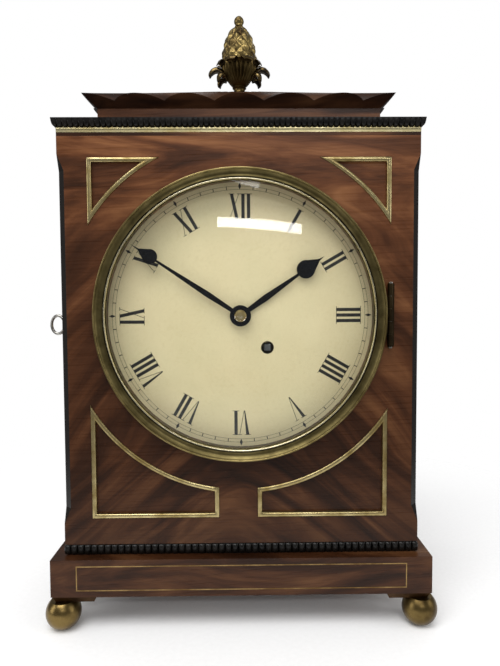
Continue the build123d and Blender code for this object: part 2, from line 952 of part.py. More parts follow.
# Lock, its bolt and the key
lock_left = -(half_width - side_thick)
lock_right = lock_left + lock_case_width
lock_low = lock_height - lock_case_height / 2
lock_front = lock_y - lock_case_depth / 2
bolt_x = lock_right - lock_wall - lock_clearance - bolt_size / 2
bolt_y = lock_front + lock_wall + bolt_setback + bolt_size / 2
bolt_top = catch_z - catch_height / 2 - lock_clearance
with BuildPart() as lock_case:
    block(
        (lock_left, lock_front, lock_low),
        (lock_right, lock_front + lock_case_depth, lock_low + lock_case_height),
    )
    cut_block(
        (lock_left + lock_wall, lock_front + lock_wall, lock_low + lock_wall),
        (
            lock_right - lock_wall,
            lock_front + lock_case_depth - lock_wall,
            lock_low + lock_case_height - lock_wall,
        ),
    )
    with BuildSketch(Plane.YZ.offset(lock_left)):
        with Locations((lock_y, lock_height)):
            Circle(key_way_radius)
    extrude(amount=lock_wall, mode=Mode.SUBTRACT)
    cut_block(
        (lock_right - lock_wall, bolt_y - bolt_size / 2 - bolt_slot, bolt_top - bolt_size - bolt_slot),
        (lock_right, bolt_y + bolt_size / 2 + bolt_slot, bolt_top + bolt_travel + bolt_slot),
    )
save(lock_case, "lock_case")

with BuildPart() as lock_bolt:
    bolt_back = bolt_y + bolt_size / 2
    block(
        (bolt_x - bolt_size / 2, bolt_y - bolt_size / 2, lock_low + lock_wall + lock_clearance),
        (bolt_x + bolt_size / 2, bolt_back, bolt_top),
    )
    block(
        (bolt_x - bolt_size / 2, bolt_y - bolt_size / 2, bolt_top - bolt_size),
        (catch_x + catch_thick / 2, bolt_back, bolt_top),
    )
save(lock_bolt, "lock_bolt")

with BuildPart() as key:
    key_tip = lock_left + lock_case_width - 2 * lock_wall
    key_root = -half_width - key_stand_out
    bow_x = key_root - bow_width / 2 + bow_wire / 2
    with BuildSketch(Plane.YZ.offset(key_root)):
        with Locations((lock_y, lock_height)):
            Circle(key_shank_radius)
    extrude(amount=key_tip - key_root)
    with BuildSketch(Plane.YZ.offset(key_root)):
        with Locations((lock_y, lock_height)):
            Circle(key_collar_radius)
    extrude(amount=key_collar_radius)
    with BuildSketch(facing(lock_y - bow_wire)):
        with Locations((-bow_x, lock_height)):
            Ellipse(bow_width / 2, bow_height / 2)
            Ellipse(bow_width / 2 - bow_wire, bow_height / 2 - bow_wire, mode=Mode.SUBTRACT)
    extrude(amount=2 * bow_wire)
    block(
        (lock_left + lock_wall + lock_clearance, lock_y - bit_thick / 2, lock_height - bit_radius),
        (lock_left + lock_wall + lock_clearance + bit_width, lock_y + bit_thick / 2, lock_height),
    )
save(key, "key")

with BuildPart() as key_escutcheon:
    with BuildSketch(Plane.YZ.offset(-half_width - escutcheon_thick)):
        with Locations((lock_y, lock_height)):
            Circle(escutcheon_radius)
            Circle(key_way_radius, mode=Mode.SUBTRACT)
    extrude(amount=escutcheon_thick)
save(key_escutcheon, "key_escutcheon")

# Dial: a convex plate on four feet
dial_axis = Axis((0, 0, dial_height), (0, 1, 0))
dial_rim_y = board_back + dial_behind_board


def sag(radius, rim, bulge):
    """How far a shallow dome of this rim radius and bulge falls back at a radius, from its crown."""
    sphere = (rim**2 + bulge**2) / (2 * bulge)
    return sphere - sqrt(sphere**2 - radius**2)


def dome(rim, crown_y, bulge, thick):
    """A domed disc turned about the dial's axis."""
    with BuildSketch(Plane.XY.offset(dial_height)) as section:
        with BuildLine() as outline:
            ThreePointArc((0, crown_y), (rim / 2, crown_y + sag(rim / 2, rim, bulge)), (rim, crown_y + bulge))
            Line((rim, crown_y + bulge), (rim, crown_y + bulge + thick))
            ThreePointArc(
                (rim, crown_y + bulge + thick),
                (rim / 2, crown_y + thick + sag(rim / 2, rim, bulge)),
                (0, crown_y + thick),
            )
            Line((0, crown_y + thick), (0, crown_y))
        make_face(outline.edges())
    revolve(section.sketch, axis=dial_axis)


def ring(points):
    """A ring turned about the dial's axis from (radius, y) corners."""
    with BuildSketch(Plane.XY.offset(dial_height)) as section:
        with BuildLine() as outline:
            Polyline(points, close=True)
        make_face(outline.edges())
    revolve(section.sketch, axis=dial_axis)


dial_crown_y = dial_rim_y - dial_bulge
hour_module = 2 * motion_teeth * motion_module / (hour_teeth + minute_leaves)
great_distance = (great_teeth + centre_leaves) * great_module / 2
winding_x, winding_rise = polar(great_distance, great_angle)
winding_z = dial_height + winding_rise
with BuildPart() as dial_plate:
    dome(dial_radius, dial_crown_y, dial_bulge, dial_thick)
    for side in (-1, 1):
        for rise in (-1, 1):
            foot_y = dial_crown_y + sag(sqrt(2) * dial_foot_place, dial_radius, dial_bulge) + dial_thick / 2
            disc(
                side * dial_foot_place,
                dial_height + rise * dial_foot_place,
                dial_foot_radius,
                foot_y,
                front_plate_y,
            )
    disc(0, dial_height, hour_pipe_radius + dial_hole_clearance, dial_crown_y, front_plate_y, Mode.SUBTRACT)
    disc(winding_x, winding_z, winding_hole_radius, dial_crown_y, front_plate_y, Mode.SUBTRACT)
save(dial_plate, "dial_plate")

# Bezel: the outer ring with its hollow moulding, the bright sight ring in it, and the glass
knuckle_pitch = hinge_height / hinge_knuckles
bezel_knuckles = []
for n in range(1, hinge_knuckles, 2):
    knuckle_low = hinge_low + n * knuckle_pitch + knuckle_gap / 2
    bezel_knuckles.append((knuckle_low, knuckle_low + knuckle_pitch - knuckle_gap))
with BuildPart() as bezel_ring:
    ring(
        [
            (sight_outer, bezel_back - bezel_depth * hollow_foot_share),
            (sight_outer + hollow_slope_width, bezel_front + hollow_slope_depth),
            (bezel_radius - rim_foot_inset, bezel_front + rim_foot_depth),
            (bezel_radius - rim_crest_inset, bezel_front),
            (bezel_radius - rim_crest_edge, bezel_front),
            (bezel_radius, bezel_front + rim_side_depth),
            (bezel_radius, bezel_back),
            (opening_radius - lip_clearance, bezel_back),
            (opening_radius - lip_clearance, bezel_back + bezel_lip),
            (sight_radius, bezel_back + bezel_lip),
            (sight_radius, bezel_back - sight_seat),
            (sight_outer, bezel_back - sight_seat),
        ]
    )
    catch_back = bezel_back + catch_reach
    block(
        (catch_x - catch_thick / 2, bezel_back - sight_seat, catch_z - catch_height / 2),
        (catch_x + catch_thick / 2, catch_back, catch_z + catch_height / 2),
    )
    for low, high in bezel_knuckles:
        cut_block(
            (bezel_radius - hinge_let_in, hinge_y - leaf_plate / 2, low),
            (bezel_radius + hinge_cut_over, hinge_y + leaf_plate / 2, high),
        )
    cut_block(
        (catch_x - catch_thick, bolt_y - bolt_size / 2 - bolt_slot, catch_z - catch_height / 2),
        (catch_x + catch_thick, bolt_back + bolt_slot, catch_z - catch_height / 2 + bolt_travel + bolt_slot),
    )
save(bezel_ring, "bezel_ring")

with BuildPart() as sight_ring:
    ring_back = bezel_back - sight_seat - sight_clearance
    ring_outer = sight_outer - sight_clearance
    ring(
        [
            (sight_radius, bezel_front + sight_back_depth),
            (sight_radius, bezel_front + sight_edge_depth),
            (sight_radius + sight_crest_inset, bezel_front + sight_crest_depth),
            (ring_outer, bezel_front + sight_side_depth),
            (ring_outer, ring_back),
            (glass_radius + glass_clearance, ring_back),
            (glass_radius + glass_clearance, bezel_front + sight_back_depth),
        ]
    )
save(sight_ring, "sight_ring")

with BuildPart() as bezel_glass:
    glass_crown_y = ring_back - glass_clearance - glass_thick - glass_bulge
    dome(glass_radius, glass_crown_y, glass_bulge, glass_thick)
save(bezel_glass, "bezel_glass")


# Bezel hinge: knuckles in turn on the bezel and on the case, on one pin
def knuckle(x, y, low, high, radius, bore):
    with BuildSketch(Plane.XY.offset(low)) as section:
        with Locations((x, y)):
            Circle(radius)
            Circle(bore, mode=Mode.SUBTRACT)
    extrude(section.sketch, amount=high - low)


def pin(x, y, low, high, radius, mode=Mode.ADD):
    with BuildSketch(Plane.XY.offset(low)) as section:
        with Locations((x, y)):
            Circle(radius)
    extrude(section.sketch, amount=high - low, mode=mode)


hinge_bore = hinge_pin_radius + pin_clearance
with BuildPart() as bezel_hinge_leaf:
    for low, high in bezel_knuckles:
        block(
            (bezel_radius - hinge_let_in, hinge_y - leaf_plate / 2, low),
            (hinge_x, hinge_y + leaf_plate / 2, high),
        )
        knuckle(hinge_x, hinge_y, low, high, hinge_radius, hinge_bore)
        pin(hinge_x, hinge_y, low, high, hinge_bore, Mode.SUBTRACT)
save(bezel_hinge_leaf, "bezel_hinge_leaf")

with BuildPart() as case_hinge_leaf:
    leaf_left = hinge_x + case_leaf_start
    leaf_back = front_y + hinge_recess
    block(
        (leaf_left, leaf_back - leaf_plate, hinge_low),
        (hinge_x + hinge_radius + case_leaf_reach, leaf_back, hinge_high),
    )
    for n in range(1, hinge_knuckles, 2):
        low = hinge_low + n * knuckle_pitch - knuckle_gap / 2
        high = hinge_low + (n + 1) * knuckle_pitch + knuckle_gap / 2
        cut_block((hinge_x, hinge_y, low), (hinge_x + hinge_radius + case_leaf_notch, leaf_back, high))
    for n in range(0, hinge_knuckles, 2):
        low = hinge_low + n * knuckle_pitch + knuckle_gap / 2
        high = hinge_low + (n + 1) * knuckle_pitch - knuckle_gap / 2
        block((leaf_left, hinge_y, low), (hinge_x + hinge_radius, leaf_back - case_leaf_step, high))
        knuckle(hinge_x, hinge_y, low, high, hinge_radius, hinge_bore)
        pin(hinge_x, hinge_y, low, high, hinge_bore, Mode.SUBTRACT)
save(case_hinge_leaf, "case_hinge_leaf")

with BuildPart() as bezel_hinge_pin:
    pin(hinge_x, hinge_y, hinge_low - pin_head, hinge_high + pin_head, hinge_pin_radius)
    for low in (hinge_low - pin_head, hinge_high):
        pin(hinge_x, hinge_y, low, low + pin_head, pin_head_radius)
save(bezel_hinge_pin, "bezel_hinge_pin")

# Back: a fixed frame, and a glazed door hung in it
frame_low = body_bottom
door_low = frame_low + back_rail + door_gap
door_high = body_top - back_rail - door_gap
door_half = half_width - stile_width - door_gap
back_front = back_y - back_thick
knob_x = door_half - knob_inset


def hinge_way(low):
    """The hollow for a back door hinge's knuckle."""
    high = low + door_hinge_length + hinge_relief
    radius = door_knuckle + hinge_relief
    pin(-door_half, back_y + door_knuckle, low - hinge_relief, high, radius, Mode.SUBTRACT)


with BuildPart() as back_frame:
    block((-half_width, back_front, frame_low), (half_width, back_y, body_top))
    cut_block(
        (-(half_width - stile_width), back_front, door_low - door_gap),
        (half_width - stile_width, back_y, door_high + door_gap),
    )
    block(
        (half_width - stile_width - door_stop, back_front, door_low - door_gap),
        (half_width - stile_width, back_y - door_thick - door_gap, door_high + door_gap),
    )
    for low in door_hinge_lows:
        hinge_way(low)
save(back_frame, "back_frame")

door_glass_back = back_y - door_thick / 2 + door_glass_thick / 2
with BuildPart() as back_door_frame:
    block((-door_half, back_y - door_thick, door_low), (door_half, back_y, door_high))
    cut_block(
        (door_rail - door_half, back_y - door_thick, door_low + door_rail),
        (door_half - door_rail, back_y, door_high - door_rail),
    )
    cut_block(
        (
            door_rail - door_half - door_glass_lap,
            door_glass_back - door_glass_thick,
            door_low + door_rail - door_glass_lap,
        ),
        (
            door_half - door_rail + door_glass_lap,
            door_glass_back,
            door_high - door_rail + door_glass_lap,
        ),
    )
    disc(knob_x, dial_height, knob_neck_radius + running_fit, back_y - door_thick, back_y, Mode.SUBTRACT)
    for low in door_hinge_lows:
        hinge_way(low)
save(back_door_frame, "back_door_frame")

with BuildPart() as back_door_glass:
    block(
        (
            door_rail - door_half - door_glass_lap,
            door_glass_back - door_glass_thick,
            door_low + door_rail - door_glass_lap,
        ),
        (
            door_half - door_rail + door_glass_lap,
            door_glass_back,
            door_high - door_rail + door_glass_lap,
        ),
    )
save(back_door_glass, "back_door_glass")

with BuildPart() as back_door_knob:
    turn_back = back_front - door_gap
    knob_y = back_y + knob_neck_length
    rose_y = back_y + knob_rose_gap
    disc(knob_x, dial_height, knob_neck_radius, turn_back - turn_thick, knob_y)
    disc(knob_x, dial_height, knob_radius, knob_y, knob_y + knob_thick)
    disc(knob_x, dial_height, knob_rose_radius, rose_y, rose_y + knob_rose_thick)
    fillet(back_door_knob.edges().filter_by(lambda e: e.length > 2 * pi * (knob_radius - 0.1)), knob_round)
    block(
        (knob_x - turn_width / 2, turn_back - turn_thick, dial_height - turn_length + turn_width / 2),
        (knob_x + turn_width / 2, turn_back, dial_height + turn_width / 2),
    )
save(back_door_knob, "back_door_knob")

with BuildPart() as door_hinges:
    for low in door_hinge_lows:
        pin(-door_half, back_y + door_knuckle, low, low + door_hinge_length, door_knuckle)
        block(
            (-door_half - door_leaf, back_y, low),
            (-door_half, back_y + leaf_plate, low + door_hinge_length),
        )
save(door_hinges, "door_hinges")

# Movement: two plates held apart by pillars, on a seat board that rests on two bearers
def along(angle, distance, start=(0, dial_height)):
    """A point at a distance and angle, counted from +X towards +Z, from another point."""
    x, z = polar(distance, angle)
    return (start[0] + x, start[1] + z)


def mesh_distance(teeth, leaves, module):
    return (teeth + leaves) * module / 2


def tip_radius(teeth, module):
    return teeth * module / 2 + wheel_addendum * module


centre_at = (0, dial_height)
third_at = along(third_angle, mesh_distance(centre_teeth, third_leaves, centre_module))
great_at = (winding_x, winding_z)
minute_at = along(minute_angle_place, mesh_distance(motion_teeth, motion_teeth, motion_module))
barrel_at = (barrel_x, dial_height - barrel_drop)
escape_pinion_tip = tip_radius(escape_leaves, third_module)
escape_apart = tip_radius(third_teeth, third_module) + escape_pinion_tip + escape_mesh_gap
escape_at = (0, third_at[1] + sqrt(escape_apart**2 - third_at[0] ** 2))
pallet_at = (0, escape_at[1] + pallet_height)
pendulum_y = movement_back + pendulum_gap
crutch_y = movement_back + crutch_gap
pillar_half = plate_width / 2 - pillar_inset
pillar_places = []
for side in (-1, 1):
    pillar_places.append((side * pillar_half, plate_low + pillar_inset))
    pillar_places.append((side * pillar_half, plate_low + plate_height - pillar_inset))


def plate(y, holes):
    """A movement plate with its holes, each (place, radius)."""
    block((-plate_width / 2, y, plate_low), (plate_width / 2, y + plate_thick, plate_low + plate_height))
    for place, radius in holes:
        disc(*place, radius, y, y + plate_thick, Mode.SUBTRACT)


pillar_holes = [(place, pillar_shoulder) for place in pillar_places]
arbor_hole = arbor_radius + running_fit
train_hole = train_arbor_radius + running_fit
with BuildPart() as front_plate:
    plate(
        front_plate_y,
        pillar_holes
        + [
            (centre_at, arbor_hole),
            (third_at, train_hole),
            (escape_at, train_hole),
            (pallet_at, train_hole),
            (great_at, winding_radius + running_fit),
            (barrel_at, barrel_arbor_radius),
        ],
    )
    disc(*minute_at, stud_radius, front_plate_y - minute_stud, front_plate_y + plate_thick)
save(front_plate, "front_plate")

with BuildPart() as back_plate:
    plate(
        back_plate_y,
        pillar_holes
        + [
            (centre_at, arbor_hole),
            (third_at, train_hole),
            (escape_at, train_hole),
            (pallet_at, train_hole),
            (great_at, arbor_hole),
            (barrel_at, barrel_arbor_radius),
        ],
    )
save(back_plate, "back_plate")

with BuildPart() as pillars:
    for place in pillar_places:
        disc(*place, pillar_radius, plate_inner, back_plate_y)
        disc(*place, pillar_shoulder, front_plate_y - pillar_rivet, movement_back + pillar_rivet)
save(pillars, "pillars")

with BuildPart() as seat_board:
    block(
        (-(half_width - side_thick), front_plate_y - seat_front, plate_low - seat_thick),
        (half_width - side_thick, front_plate_y - seat_front + seat_depth, plate_low),
    )
save(seat_board, "seat_board")

with BuildPart() as seat_bearers:
    for side in (-1, 1):
        inner = half_width - side_thick
        block(
            (
                min(side * inner, side * (inner - bearer_width)),
                front_plate_y - seat_front,
                plate_low - seat_thick - bearer_width,
            ),
            (
                max(side * inner, side * (inner - bearer_width)),
                front_plate_y - seat_front + seat_depth,
                plate_low - seat_thick,
            ),
        )
save(seat_bearers, "seat_bearers")

# Going train
centre_wheel_y = plate_inner + centre_wheel_place
great_wheel_y = plate_inner + great_wheel_place
third_wheel_y = plate_inner + third_wheel_place
escape_wheel_y = plate_inner + escape_wheel_place
hour_wheel_y = front_plate_y - hour_wheel_place - wheel_thick
hour_hand_y = dial_crown_y - hour_hand_gap - hand_thick
minute_hand_y = hour_hand_y - hand_spacing - hand_thick
collet_y = minute_hand_y - collet_tall
with BuildPart() as centre_wheel:
    disc(*centre_at, arbor_radius, collet_y - arbor_tip, movement_back)
    toothed(
        *centre_at,
        centre_teeth,
        centre_module,
        tooth_share,
        third_angle,
        centre_wheel_y,
        wheel_thick,
        spokes=4,
    )
    disc(*centre_at, 2 * arbor_radius, centre_wheel_y - wheel_thick, centre_wheel_y + 2 * wheel_thick)
    toothed(
        *centre_at,
        centre_leaves,
        great_module,
        leaf_share,
        great_angle,
        great_wheel_y - pinion_over,
        great_thick + 2 * pinion_over,
        addendum=pinion_addendum,
        dedendum=pinion_dedendum,
    )
save(centre_wheel, "centre_wheel")

with BuildPart() as third_wheel:
    disc(*third_at, train_arbor_radius, front_plate_y, movement_back)
    toothed(*third_at, third_teeth, third_module, tooth_share, 0, third_wheel_y, third_thick, spokes=4)
    toothed(
        *third_at,
        third_leaves,
        centre_module,
        leaf_share,
        third_angle + 180 + 180 / third_leaves,
        centre_wheel_y - pinion_over,
        wheel_thick + 2 * pinion_over,
        addendum=pinion_addendum,
        dedendum=pinion_dedendum,
    )
    disc(*third_at, 3 * train_arbor_radius, third_wheel_y - third_thick, third_wheel_y + 2 * third_thick)
save(third_wheel, "third_wheel")

with BuildPart() as escape_wheel:
    disc(*escape_at, train_arbor_radius, front_plate_y, movement_back)
    toothed(
        *escape_at,
        escape_leaves,
        third_module,
        leaf_share,
        0,
        third_wheel_y - pinion_over,
        third_thick + 2 * pinion_over,
        addendum=pinion_addendum,
        dedendum=pinion_dedendum,
    )
    with BuildSketch(facing(escape_wheel_y)) as escape_outline:
        with Locations((-escape_at[0], escape_at[1])):
            points = []
            escape_root_radius = escape_radius * escape_root_share
            for n in range(escape_teeth):
                start = 360 / escape_teeth * n
                points.append(polar(escape_root_radius, start))
                points.append(polar(escape_radius, start + escape_lean))
                points.append(polar(escape_radius, start + escape_lean + escape_land))
                points.append(polar(escape_root_radius, start + escape_root))
            Polygon(*points, align=None)
            Circle(escape_radius * escape_rim_share, mode=Mode.SUBTRACT)
            Circle(escape_radius * escape_hub_share)
            Rectangle(escape_radius * escape_cross_share, escape_radius * escape_spoke_share)
            Rectangle(escape_radius * escape_spoke_share, escape_radius * escape_cross_share)
    extrude(amount=third_thick)
    disc(*escape_at, 3 * train_arbor_radius, escape_wheel_y - third_thick, escape_wheel_y + 2 * third_thick)
save(escape_wheel, "escape_wheel")

# Great wheel, which runs on the fusee's arbor
fusee_low_y = plate_inner + fusee_start
fusee_high_y = great_wheel_y - fusee_gap
with BuildPart() as great_wheel:
    toothed(
        *great_at,
        great_teeth,
        great_module,
        tooth_share,
        great_angle + 180 + 180 / great_teeth,
        great_wheel_y,
        great_thick,
    )
    disc(*great_at, winding_radius + running_fit, great_wheel_y, great_wheel_y + great_thick, Mode.SUBTRACT)
save(great_wheel, "great_wheel")

with BuildPart() as fusee:
    with BuildSketch(Plane.XY.offset(great_at[1])):
        with BuildLine():
            Line((great_at[0], fusee_low_y), (great_at[0] + fusee_small_radius, fusee_low_y))
            ThreePointArc(
                (great_at[0] + fusee_small_radius, fusee_low_y),
                (
                    great_at[0] + fusee_waist_share * (fusee_small_radius + fusee_large_radius),
                    (fusee_low_y + fusee_high_y) / 2,
                ),
                (great_at[0] + fusee_large_radius, fusee_high_y),
            )
            Polyline(
                (great_at[0] + fusee_large_radius, fusee_high_y),
                (great_at[0], fusee_high_y),
                (great_at[0], fusee_low_y),
            )
        make_face()
    revolve(axis=Axis((great_at[0], 0, great_at[1]), (0, 1, 0)))
    disc(*great_at, winding_radius, front_plate_y, great_wheel_y + great_thick + fusee_collar)
    disc(*great_at, arbor_radius, fusee_high_y, movement_back)
    block(
        (great_at[0] - winding_square / 2, dial_crown_y + winding_tip_gap, great_at[1] - winding_square / 2),
        (great_at[0] + winding_square / 2, front_plate_y, great_at[1] + winding_square / 2),
    )
save(fusee, "fusee")

barrel_y = plate_inner + fusee_start
with BuildPart() as barrel:
    barrel_bore = barrel_arbor_radius + running_fit
    cap_y = fusee_high_y + barrel_cap_thick
    tube(*barrel_at, barrel_radius, barrel_bore, barrel_y, fusee_high_y)
    tube(*barrel_at, barrel_radius - barrel_cap_inset, barrel_bore, fusee_high_y, cap_y)
save(barrel, "barrel")

with BuildPart() as barrel_arbor:
    ratchet_y = front_plate_y - ratchet_gap - ratchet_thick
    disc(*barrel_at, barrel_arbor_radius, front_plate_y - barrel_arbor_over, movement_back)
    disc(*barrel_at, ratchet_radius, ratchet_y, ratchet_y + ratchet_thick)
save(barrel_arbor, "barrel_arbor")

# Motion work behind the dial
cannon_wheel_y = front_plate_y - cannon_gap - wheel_thick
with BuildPart() as cannon_pinion:
    toothed(
        *centre_at, motion_teeth, motion_module, tooth_share, minute_angle_place, cannon_wheel_y, wheel_thick
    )
    disc(*centre_at, cannon_pipe_radius, minute_hand_y, cannon_wheel_y + wheel_thick)
    disc(*centre_at, arbor_radius, minute_hand_y, cannon_wheel_y + wheel_thick, Mode.SUBTRACT)
save(cannon_pinion, "cannon_pinion")

with BuildPart() as minute_wheel:
    toothed(
        *minute_at,
        motion_teeth,
        motion_module,
        tooth_share,
        minute_angle_place + 180 + 180 / motion_teeth,
        cannon_wheel_y,
        wheel_thick,
    )
    toothed(
        *minute_at,
        minute_leaves,
        hour_module,
        leaf_share,
        minute_angle_place + 180,
        hour_wheel_y - pinion_over,
        cannon_wheel_y - hour_wheel_y + pinion_over,
        addendum=pinion_addendum,
        dedendum=pinion_dedendum,
    )
    disc(*minute_at, stud_radius + running_fit, hour_wheel_y - pinion_over, front_plate_y, Mode.SUBTRACT)
save(minute_wheel, "minute_wheel")

with BuildPart() as hour_wheel:
    toothed(
        *centre_at,
        hour_teeth,
        hour_module,
        tooth_share,
        minute_angle_place + 180 / hour_teeth,
        hour_wheel_y,
        wheel_thick,
    )
    disc(*centre_at, hour_pipe_radius, hour_hand_y, hour_wheel_y + wheel_thick)
    pipe_bore = cannon_pipe_radius + running_fit
    disc(*centre_at, pipe_bore, hour_hand_y, hour_wheel_y + wheel_thick, Mode.SUBTRACT)
save(hour_wheel, "hour_wheel")


# Hands with a pear near the tip
def hand_plane(y, clockwise):
    turn = radians(clockwise)
    return Plane(origin=(0, y, dial_height), x_dir=(-cos(turn), 0, sin(turn)), z_dir=(0, 1, 0))


def hand(y, clockwise, length, pear_at, pear_radius, half_wide, boss, bore):
    """A hand with a kite-shaped stem, a pear near its end and a fine tip."""
    with BuildSketch(hand_plane(y, clockwise)) as shape:
        with BuildLine() as stem:
            Polyline(
                (stem_boss_share * half_wide, 0),
                (half_wide, stem_wide_place * length),
                (stem_pear_share * half_wide, pear_at),
                (-stem_pear_share * half_wide, pear_at),
                (-half_wide, stem_wide_place * length),
                (-stem_boss_share * half_wide, 0),
                close=True,
            )
        make_face(stem.edges())
        with BuildLine() as point:
            Polyline(
                (pear_shoulder_share * pear_radius, pear_at + pear_shoulder_rise * pear_radius),
                (point_share * pear_radius, pear_at + point_rise * pear_radius),
                (0, length),
                (-point_share * pear_radius, pear_at + point_rise * pear_radius),
                (-pear_shoulder_share * pear_radius, pear_at + pear_shoulder_rise * pear_radius),
                close=True,
            )
        make_face(point.edges())
        with Locations((0, pear_at)):
            Circle(pear_radius)
        Circle(boss)
        Circle(bore, mode=Mode.SUBTRACT)
    extrude(shape.sketch, amount=hand_thick)


with BuildPart() as hour_hand:
    hand(
        hour_hand_y,
        hour_angle,
        hour_hand_length,
        hour_pear_at,
        hour_pear_radius,
        hour_hand_half,
        hour_boss,
        hour_pipe_radius,
    )
save(hour_hand, "hour_hand")

with BuildPart() as minute_hand:
    hand(
        minute_hand_y,
        minute_angle,
        minute_hand_length,
        minute_pear_at,
        minute_pear_radius,
        minute_hand_half,
        minute_boss,
        cannon_pipe_radius,
    )
save(minute_hand, "minute_hand")

with BuildPart() as hand_collet:
    disc(*centre_at, collet_radius, collet_y, minute_hand_y)
    disc(*centre_at, arbor_radius, collet_y, minute_hand_y, Mode.SUBTRACT)
    chamfer(hand_collet.faces().sort_by(Axis.Y)[0].outer_wire().edges(), collet_bevel)
save(hand_collet, "hand_collet")

# Escapement and pendulum
pallet_reach = (escape_radius + pallet_clearance) / sqrt(2)
with BuildPart() as anchor:
    disc(*pallet_at, train_arbor_radius, front_plate_y, crutch_y + crutch_thick)
    for side in (-1, 1):
        with BuildSketch(facing(escape_wheel_y)):
            with Locations((0, pallet_at[1])):
                Polygon(
                    (0, anchor_top),
                    (side * anchor_shoulder[0], anchor_shoulder[1]),
                    (side * (pallet_reach + pallet_thick), pallet_reach - pallet_height),
                    (side * pallet_reach, pallet_reach - pallet_height),
                    (side * anchor_crook[0], anchor_crook[1]),
                    (0, anchor_under),
                    align=None,
                )
        extrude(amount=third_thick)
    disc(*pallet_at, 3 * train_arbor_radius, crutch_y, crutch_y + crutch_thick)
    crutch_low = pallet_at[1] - crutch_length
    fork_low = crutch_low - crutch_fork
    fork = pendulum_rod_radius + crutch_clearance
    fork_outer = fork + crutch_half
    block((-crutch_half, crutch_y, crutch_low), (crutch_half, crutch_y + crutch_thick, pallet_at[1]))
    for low_x, high_x in ((-fork_outer, -fork), (fork, fork_outer)):
        block((low_x, crutch_y, fork_low), (high_x, pendulum_y + crutch_over, crutch_low))
    block((-fork_outer, crutch_y, fork_low), (fork_outer, crutch_y + crutch_thick, crutch_low))
save(anchor, "anchor")

cock_low = pallet_at[1] + cock_rise
with BuildPart() as back_cock:
    cock_top = cock_low + cock_tall
    cock_back = pendulum_y + cock_over
    block((-cock_half, movement_back, cock_low), (cock_half, cock_back, cock_top))
    cut_block((-spring_slot, pendulum_y - cock_slot_front, cock_low), (spring_slot, cock_back, cock_top))
    block((-cock_half, movement_back, cock_low), (cock_half, movement_back + cock_foot, cock_top + cock_tall))
save(back_cock, "back_cock")

bob_z = body_bottom + bob_rise
with BuildPart() as pendulum_rod:
    rod_bottom = bob_z - bob_radius - rating_nut_height - rod_end
    rod_top = pallet_at[1] - spring_length
    pin(0, pendulum_y, rod_bottom, rod_top, pendulum_rod_radius)
    block(
        (-spring_half, pendulum_y - spring_half_depth, rod_top - spring_root),
        (spring_half, pendulum_y + spring_half_depth, cock_top + spring_over),
    )
    block(
        (-ferrule_half, pendulum_y - ferrule_half_depth, rod_top - ferrule_tall),
        (ferrule_half, pendulum_y + ferrule_half_depth, rod_top),
    )
    block(
        (-hanger_half, pendulum_y - ferrule_half_depth, cock_top + hanger_gap),
        (hanger_half, pendulum_y + ferrule_half_depth, cock_top + hanger_gap + hanger_tall),
    )
save(pendulum_rod, "pendulum_rod")

with BuildPart() as pendulum_bob:
    disc(0, bob_z, bob_radius, pendulum_y - bob_thick / 2, pendulum_y + bob_thick / 2)
    chamfer(pendulum_bob.edges().filter_by(GeomType.CIRCLE), bob_bevel)
    pin(0, pendulum_y, bob_z - bob_radius, bob_z + bob_radius, pendulum_rod_radius, Mode.SUBTRACT)
save(pendulum_bob, "pendulum_bob")

with BuildPart() as rating_nut:
    nut_top = bob_z - bob_radius - rating_nut_gap
    pin(0, pendulum_y, nut_top - rating_nut_height, nut_top, rating_nut_radius)
    pin(
        0,
        pendulum_y,
        nut_top - rating_nut_height,
        nut_top,
        pendulum_rod_radius + running_fit,
        Mode.SUBTRACT,
    )
save(rating_nut, "rating_nut")
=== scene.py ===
import math

import bmesh
import bpy
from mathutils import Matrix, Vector


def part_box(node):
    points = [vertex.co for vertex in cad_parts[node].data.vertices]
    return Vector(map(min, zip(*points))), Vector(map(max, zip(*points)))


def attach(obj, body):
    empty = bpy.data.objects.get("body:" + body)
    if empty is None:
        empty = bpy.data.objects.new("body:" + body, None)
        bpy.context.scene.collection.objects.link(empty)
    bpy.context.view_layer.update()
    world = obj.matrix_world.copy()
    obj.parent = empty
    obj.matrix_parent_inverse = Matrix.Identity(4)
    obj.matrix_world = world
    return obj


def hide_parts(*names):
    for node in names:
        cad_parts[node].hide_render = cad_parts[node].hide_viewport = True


# The looks of a bracket clock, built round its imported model. Metres, X right, Y from the dial to the back,
# Z up, floor at Z = 0. Sizes below are in millimetres and are turned to metres where a mesh is made.

MM = 0.001
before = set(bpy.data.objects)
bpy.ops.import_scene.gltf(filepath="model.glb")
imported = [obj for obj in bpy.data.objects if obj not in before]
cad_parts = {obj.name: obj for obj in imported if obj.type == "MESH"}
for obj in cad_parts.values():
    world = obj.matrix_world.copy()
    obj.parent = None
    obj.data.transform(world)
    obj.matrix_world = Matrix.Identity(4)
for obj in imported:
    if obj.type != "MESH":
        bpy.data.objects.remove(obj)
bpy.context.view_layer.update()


def corners(node):
    """A node's two corners in millimetres."""
    low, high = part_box(node)
    return [c / MM for c in low], [c / MM for c in high]


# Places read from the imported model
bezel_low, bezel_high = corners("bezel_ring")
bezel_radius = (bezel_high[2] - bezel_low[2]) / 2
dial_z = (bezel_high[2] + bezel_low[2]) / 2
dial_low, dial_high = corners("dial_plate")
dial_radius = (dial_high[2] - dial_low[2]) / 2
dial_crown_y = dial_low[1]
front_y = corners("case_front")[0][1]

# Dial surface
dial_bulge = 7.0
ink_thick = 0.06
ink_lift = 0.02


